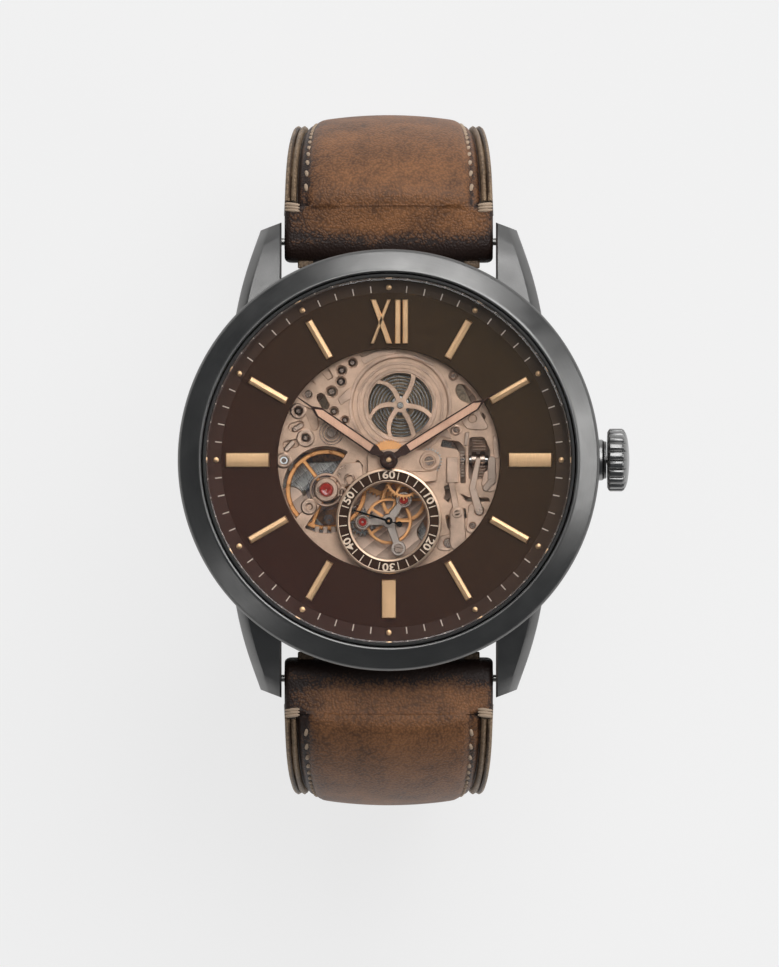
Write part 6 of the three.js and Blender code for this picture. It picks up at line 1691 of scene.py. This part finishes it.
def padded_cover(rows, thin, side, limit):
    """The full-width flap, then the narrower padded part in one piece with it."""
    flap = flap_rows()
    rings = []
    for i, row in enumerate(flap):
        rise = max(0, (row[0] - 23.5) / 3)
        rings.append(cover_ring(row, side, 0.9, 10.88, 0.35 * rise if i > 18 else 0, (0.7, 0.55)))
    for y in (26.51, 26.75):
        rings.append(cover_ring((y, 46.22, 0.1, 0.995), side, 0.9, half_width(45) - PAD_INSET, 0.5,
                                (1.6, 0.9), 0.3))
    for row in cover_rows(rows, thin):
        w = min(half_width(row[5]) - PAD_INSET, limit(row))
        puff = min(1, (base_thickness(row[4], thin) - 0.9) / 2.3)
        roll = (0.6 + 1.5 * puff, 0.35 + 0.95 * puff)
        rings.append(cover_ring(row, side, 0.95, w, 0.05 + 0.75 * puff, roll, 0.1 + 0.25 * puff))
    return loft(rings)


def buckle_fold(side_x):
    """One side of the fold round the buckle bar, beside the tongue's slot."""
    rows = [(-3.4, 7.0, 0.0, 1.0), (-4.2, 6.85, -0.1, 0.99), (-5.0, 6.6, -0.16, 0.98)]
    for i in range(19):
        a = math.radians(90 + 10 * i)
        rows.append((-6 + 1.7 * math.cos(a), 4.7 + 1.7 * math.sin(a), math.cos(a), math.sin(a)))
    rows += [(-5.0, 3.0, 0.0, -1.0), (-4.0, 3.0, 0.0, -1.0), (-3.1, 3.0, 0.0, -1.0)]
    return loft([cover_ring(row, 1, 0.95, 3.25, 0.0, (0.3, 0.2), middle=4.4 * side_x) for row in rows])


cover_12 = [padded_cover(twelve_rows, TWELVE_THIN, 1, lambda row: 20), buckle_fold(1), buckle_fold(-1)]
cover_6 = [padded_cover(six_rows, SIX_THIN, -1, lambda row: tail_width(-row[0]))]


def cover_burnish(x, y, z):
    """Painted shade: nearly black by the lugs, dark along the rolled edges, the seam and where the padding
    starts at the sides, and darker to the left.
    """
    # Every term below is painted shade.
    lug = max(0.0, 1 - max(0.0, y - 20.6) / 3.6) if z > 40 else 0.0
    edge = half_width(z) - (PAD_INSET if y > 26.3 or z < 40 else 0) - abs(x)
    rolled = 0.55 * math.exp(-(max(0.0, edge) / 0.45) ** 2)
    seam = 0.5 * math.exp(-((edge - 0.95) / 0.25) ** 2) if y > 26.3 or z < 40 else 0.0
    notch = 0.6 * math.exp(-((y - 26.45) / 0.35) ** 2) if z > 40 and abs(x) > 9 else 0.0
    shade = 0.55 * max(0.0, (-x - 5.5) / 4.5) ** 1.5 if y > 23 and z > 20 else 0.0
    return min(1.0, 1.25 * lug ** 0.8 + rolled + seam + notch + shade)


cover_obj_12 = piece("strap_12_cover_padded", cover_12, brown_leather, "case_and_strap", ["strap_12_cover"],
                     lift=0, sharp=60)
cover_obj_6 = cut_through(piece("strap_6_cover_padded", cover_6, brown_leather, "case_and_strap",
                                ["strap_6_cover"],
                                lift=0, sharp=60), strap_holes)
for obj in (cover_obj_12, cover_obj_6):
    burnished(obj, cover_burnish)

# ------------------------------------------------------------------ stitching
# Waxed two-ply thread, cream and brown, sewn along both sides of each half in a sunk seam, and
# three strong bar tacks where the padding begins.
thread, thread_tree, thread_bsdf = shader("waxed_thread", (0.5, 0.36, 0.24), 0.6)
ply = wire(thread_tree, "ShaderNodeTexNoise", {"Scale": 3800.0, "Detail": 4.0})
ply_tone = wire(thread_tree, "ShaderNodeMix", {"Factor": ply.outputs["Fac"], "A": (0.2, 0.12, 0.07, 1),
                                              "B": (0.78, 0.6, 0.44, 1)}, data_type="RGBA")
thread_tree.links.new(ply_tone.outputs["Result"], thread_bsdf.inputs["Base Color"])


def strand(a, b, up, r):
    """A short stitch: a rounded strand from a to b, bulging towards up."""
    a, b, up = Vector(a), Vector(b), Vector(up)
    along = (b - a).normalized()
    across = along.cross(up).normalized()
    rings = []
    for t, size in ((0, 0.35), (0.15, 0.85), (0.5, 1.0), (0.85, 0.85), (1, 0.35)):
        centre = a.lerp(b, t) + up * r * 0.8 * math.sin(math.pi * t)
        rings.append([tuple(centre + (across * math.cos(k * math.pi / 3)
                                      + up * math.sin(k * math.pi / 3)) * r * size)
                      for k in range(6)])
    return loft(rings)


def seam(rows, thin, side, last):
    """Stitches along both sides of one padded cover."""
    stitches = []
    tops = cover_rows(rows, thin)
    for i in range(1, int(len(tops) * last) - 2, 2):
        here, there = tops[i], tops[i + 1]
        puff = min(1, (base_thickness(here[4], thin) - 0.9) / 2.3)
        for sx in (-1, 1):
            points = []
            for row, lean in ((here, -0.12), (there, 0.12)):
                x = sx * (half_width(row[5]) - PAD_INSET - 0.95 + lean)
                sink = -0.14 - 0.3 * puff
                points.append((x, side * (row[0] + row[2] * sink), row[1] + row[3] * sink))
            stitches.append(strand(*points, (0, side * here[2], here[3]), 0.14 + 0.08 * puff))
    return stitches


tacks = [strand((sx * 9.3, sy * y, 46.25), (sx * 10.85, sy * (y + 0.15), 45.9), (0, 0, 1), 0.2)
         for sx in (-1, 1) for sy in (-1, 1) for y in (26.0, 26.3, 26.6)]
piece("strap_12_stitches", seam(twelve_rows, TWELVE_THIN, 1, 0.93), thread, "case_and_strap",
      lift=0, sharp=60)
piece("strap_6_stitches", seam(six_rows, SIX_THIN, -1, 0.86), thread, "case_and_strap",
      lift=0,
      sharp=60)
piece("bar_tacks", tacks, thread, "case_and_strap", lift=0, sharp=60)

# ------------------------------------------------------------------ keepers
# Two leather loops sewn shut underneath. One is fixed by the buckle, the other slides along the
# strap and holds the tip down.
KEEPER_HALF, KEEPER_LOW, KEEPER_HIGH = 9.3, 0.6, 5.15


def keeper(y0, y1, wall=0.6):
    """A soft loop with rounded corners and rolled edges."""
    inner = []
    r = 0.5
    for cx, cz, start in ((KEEPER_HALF - r, KEEPER_LOW + r, -90), (KEEPER_HALF - r, KEEPER_HIGH - r, 0),
                          (r - KEEPER_HALF, KEEPER_HIGH - r, 90), (r - KEEPER_HALF, KEEPER_LOW + r, 180)):
        for i in range(7):
            a = math.radians(start + 15 * i)
            inner.append((cx + r * math.cos(a), cz + r * math.sin(a), math.cos(a), math.sin(a)))
    section = [(0, 0), (0, wall * 0.7), (0.25, wall * 0.97), ((y1 - y0) / 2, wall),
               (y1 - y0 - 0.25, wall * 0.97),
               (y1 - y0, wall * 0.7), (y1 - y0, 0)]
    rings = [[(x + nx * h, y0 + d, z + nz * h) for d, h in section] for x, z, nx, nz in inner]
    return loft(rings + rings[:1], closed_ends=False)


fixed_loop = piece("fixed_keeper_loop", [keeper(-2.5, 2.5)], brown_leather, "case_and_strap",
                   ["fixed_keeper"],
                   lift=0, sharp=60)
free_loop = piece("free_keeper_loop", [keeper(8, 12.5)], brown_leather, "loose_keeper", ["free_keeper"],
                  lift=0, sharp=60)
for obj in (fixed_loop, free_loop):
    burnished(obj, lambda x, y, z: 0.35)
free_stitches = [strand((sx * 9.95, y, 1.6 + 0.9 * i), (sx * 9.95, y, 2.2 + 0.9 * i), (sx, 0, 0), 0.16)
                 for sx in (-1, 1) for y in (8.55, 11.95) for i in range(3)]
piece("free_keeper_stitches", free_stitches, thread, "loose_keeper", lift=0, sharp=60)

# ------------------------------------------------------------------ buckle
# A cast and brushed gunmetal frame and tongue on a steel bar through the fold of the strap.
buckle_metal = brushed("gunmetal_buckle", (0.3, 0.298, 0.295), 0.3, around=0.0, lines=10.0, depth=0.25)
for name, finish in (("buckle_frame", buckle_metal), ("buckle_tongue", buckle_metal),
                     ("buckle_bar", screw_steel)):
    node = frame["nodes"][name]
    solids = [node] if node.type == "MESH" else [c for c in node.children_recursive if c.type == "MESH"]
    for solid in solids:
        solid.data.materials.clear()
        solid.data.materials.append(finish)

# ------------------------------------------------------------------ table, lights and camera
# A wide pale table, faintly luminous so that it stays near white, under five soft lights. The camera
# looks straight down on the dial from high above.
table_top, table_tree, table_bsdf = shader("pale_table", (0.16, 0.16, 0.16), 0.7)
weave = wire(table_tree, "ShaderNodeTexNoise", {"Scale": 40.0, "Detail": 2.0})
weave_tone = wire(table_tree, "ShaderNodeMix", {"Factor": weave.outputs["Fac"], "A": (0.155, 0.155, 0.155, 1),
                                               "B": (0.165, 0.165, 0.165, 1)}, data_type="RGBA")
table_tree.links.new(weave_tone.outputs["Result"], table_bsdf.inputs["Base Color"])
table_bsdf.inputs["Specular IOR Level"].default_value = 0.1
table_bsdf.inputs["Emission Color"].default_value = (1, 1, 1, 1)
table_bsdf.inputs["Emission Strength"].default_value = 0.76
TABLE = 3.0
table_mesh = bpy.data.meshes.new("table")
table_mesh.from_pydata([(-TABLE, -TABLE, 0), (TABLE, -TABLE, 0), (TABLE, TABLE, 0), (-TABLE, TABLE, 0)], [],
                       [(0, 1, 2, 3)])
table_mesh.materials.append(table_top)
table = bpy.data.objects.new("table", table_mesh)
bpy.context.scene.collection.objects.link(table)


def soft_light(name, azimuth, elevation, distance, size, power, colour=(1, 1, 1)):
    """A square softbox aimed at the watch; azimuth runs from +X towards +Y."""
    data = bpy.data.lights.new(name, "AREA")
    data.shape = "RECTANGLE"
    data.size, data.size_y = size
    data.energy = power
    data.color = colour
    lamp = bpy.data.objects.new(name, data)
    a, e = math.radians(azimuth), math.radians(elevation)
    out = Vector((math.cos(e) * math.cos(a), math.cos(e) * math.sin(a), math.sin(e)))
    lamp.location = out * distance + Vector((0, 0, 0.05))
    lamp.rotation_euler = out.to_track_quat("Z", "Y").to_euler()
    bpy.context.scene.collection.objects.link(lamp)
    return lamp


soft_light("key_softbox", 62, 60, 1.1, (0.75, 0.75), 6)
soft_light("top_softbox", 80, 28, 1.2, (0.9, 0.4), 3.6)
soft_light("right_softbox", 5, 28, 1.3, (0.9, 0.4), 3.4)
soft_light("lower_left_softbox", 222, 26, 1.4, (0.3, 0.25), 0.6)
soft_light("left_fill", 130, 70, 1.6, (0.7, 0.7), 0.9)

world = bpy.data.worlds.new("studio")
world.use_nodes = True
world.node_tree.nodes["Background"].inputs["Color"].default_value = (0.9, 0.95, 1, 1)
world.node_tree.nodes["Background"].inputs["Strength"].default_value = 0.12
bpy.context.scene.world = world
bpy.context.scene.view_settings.view_transform = "Standard"

VIEW_WIDTH = 0.0811  # metres across the view at the bezel
DIAL_HEIGHT = 0.0525
CAMERA_HEIGHT = 2.5
camera_data = bpy.data.cameras.new("camera")
camera_data.sensor_fit = "HORIZONTAL"
camera_data.sensor_width = 36
camera_data.lens = 36 * (CAMERA_HEIGHT - DIAL_HEIGHT) / VIEW_WIDTH
camera_data.clip_end = 20
camera = bpy.data.objects.new("camera", camera_data)
camera.location = (0.00008, -0.00245, CAMERA_HEIGHT)
bpy.context.scene.collection.objects.link(camera)
bpy.context.scene.camera = camera
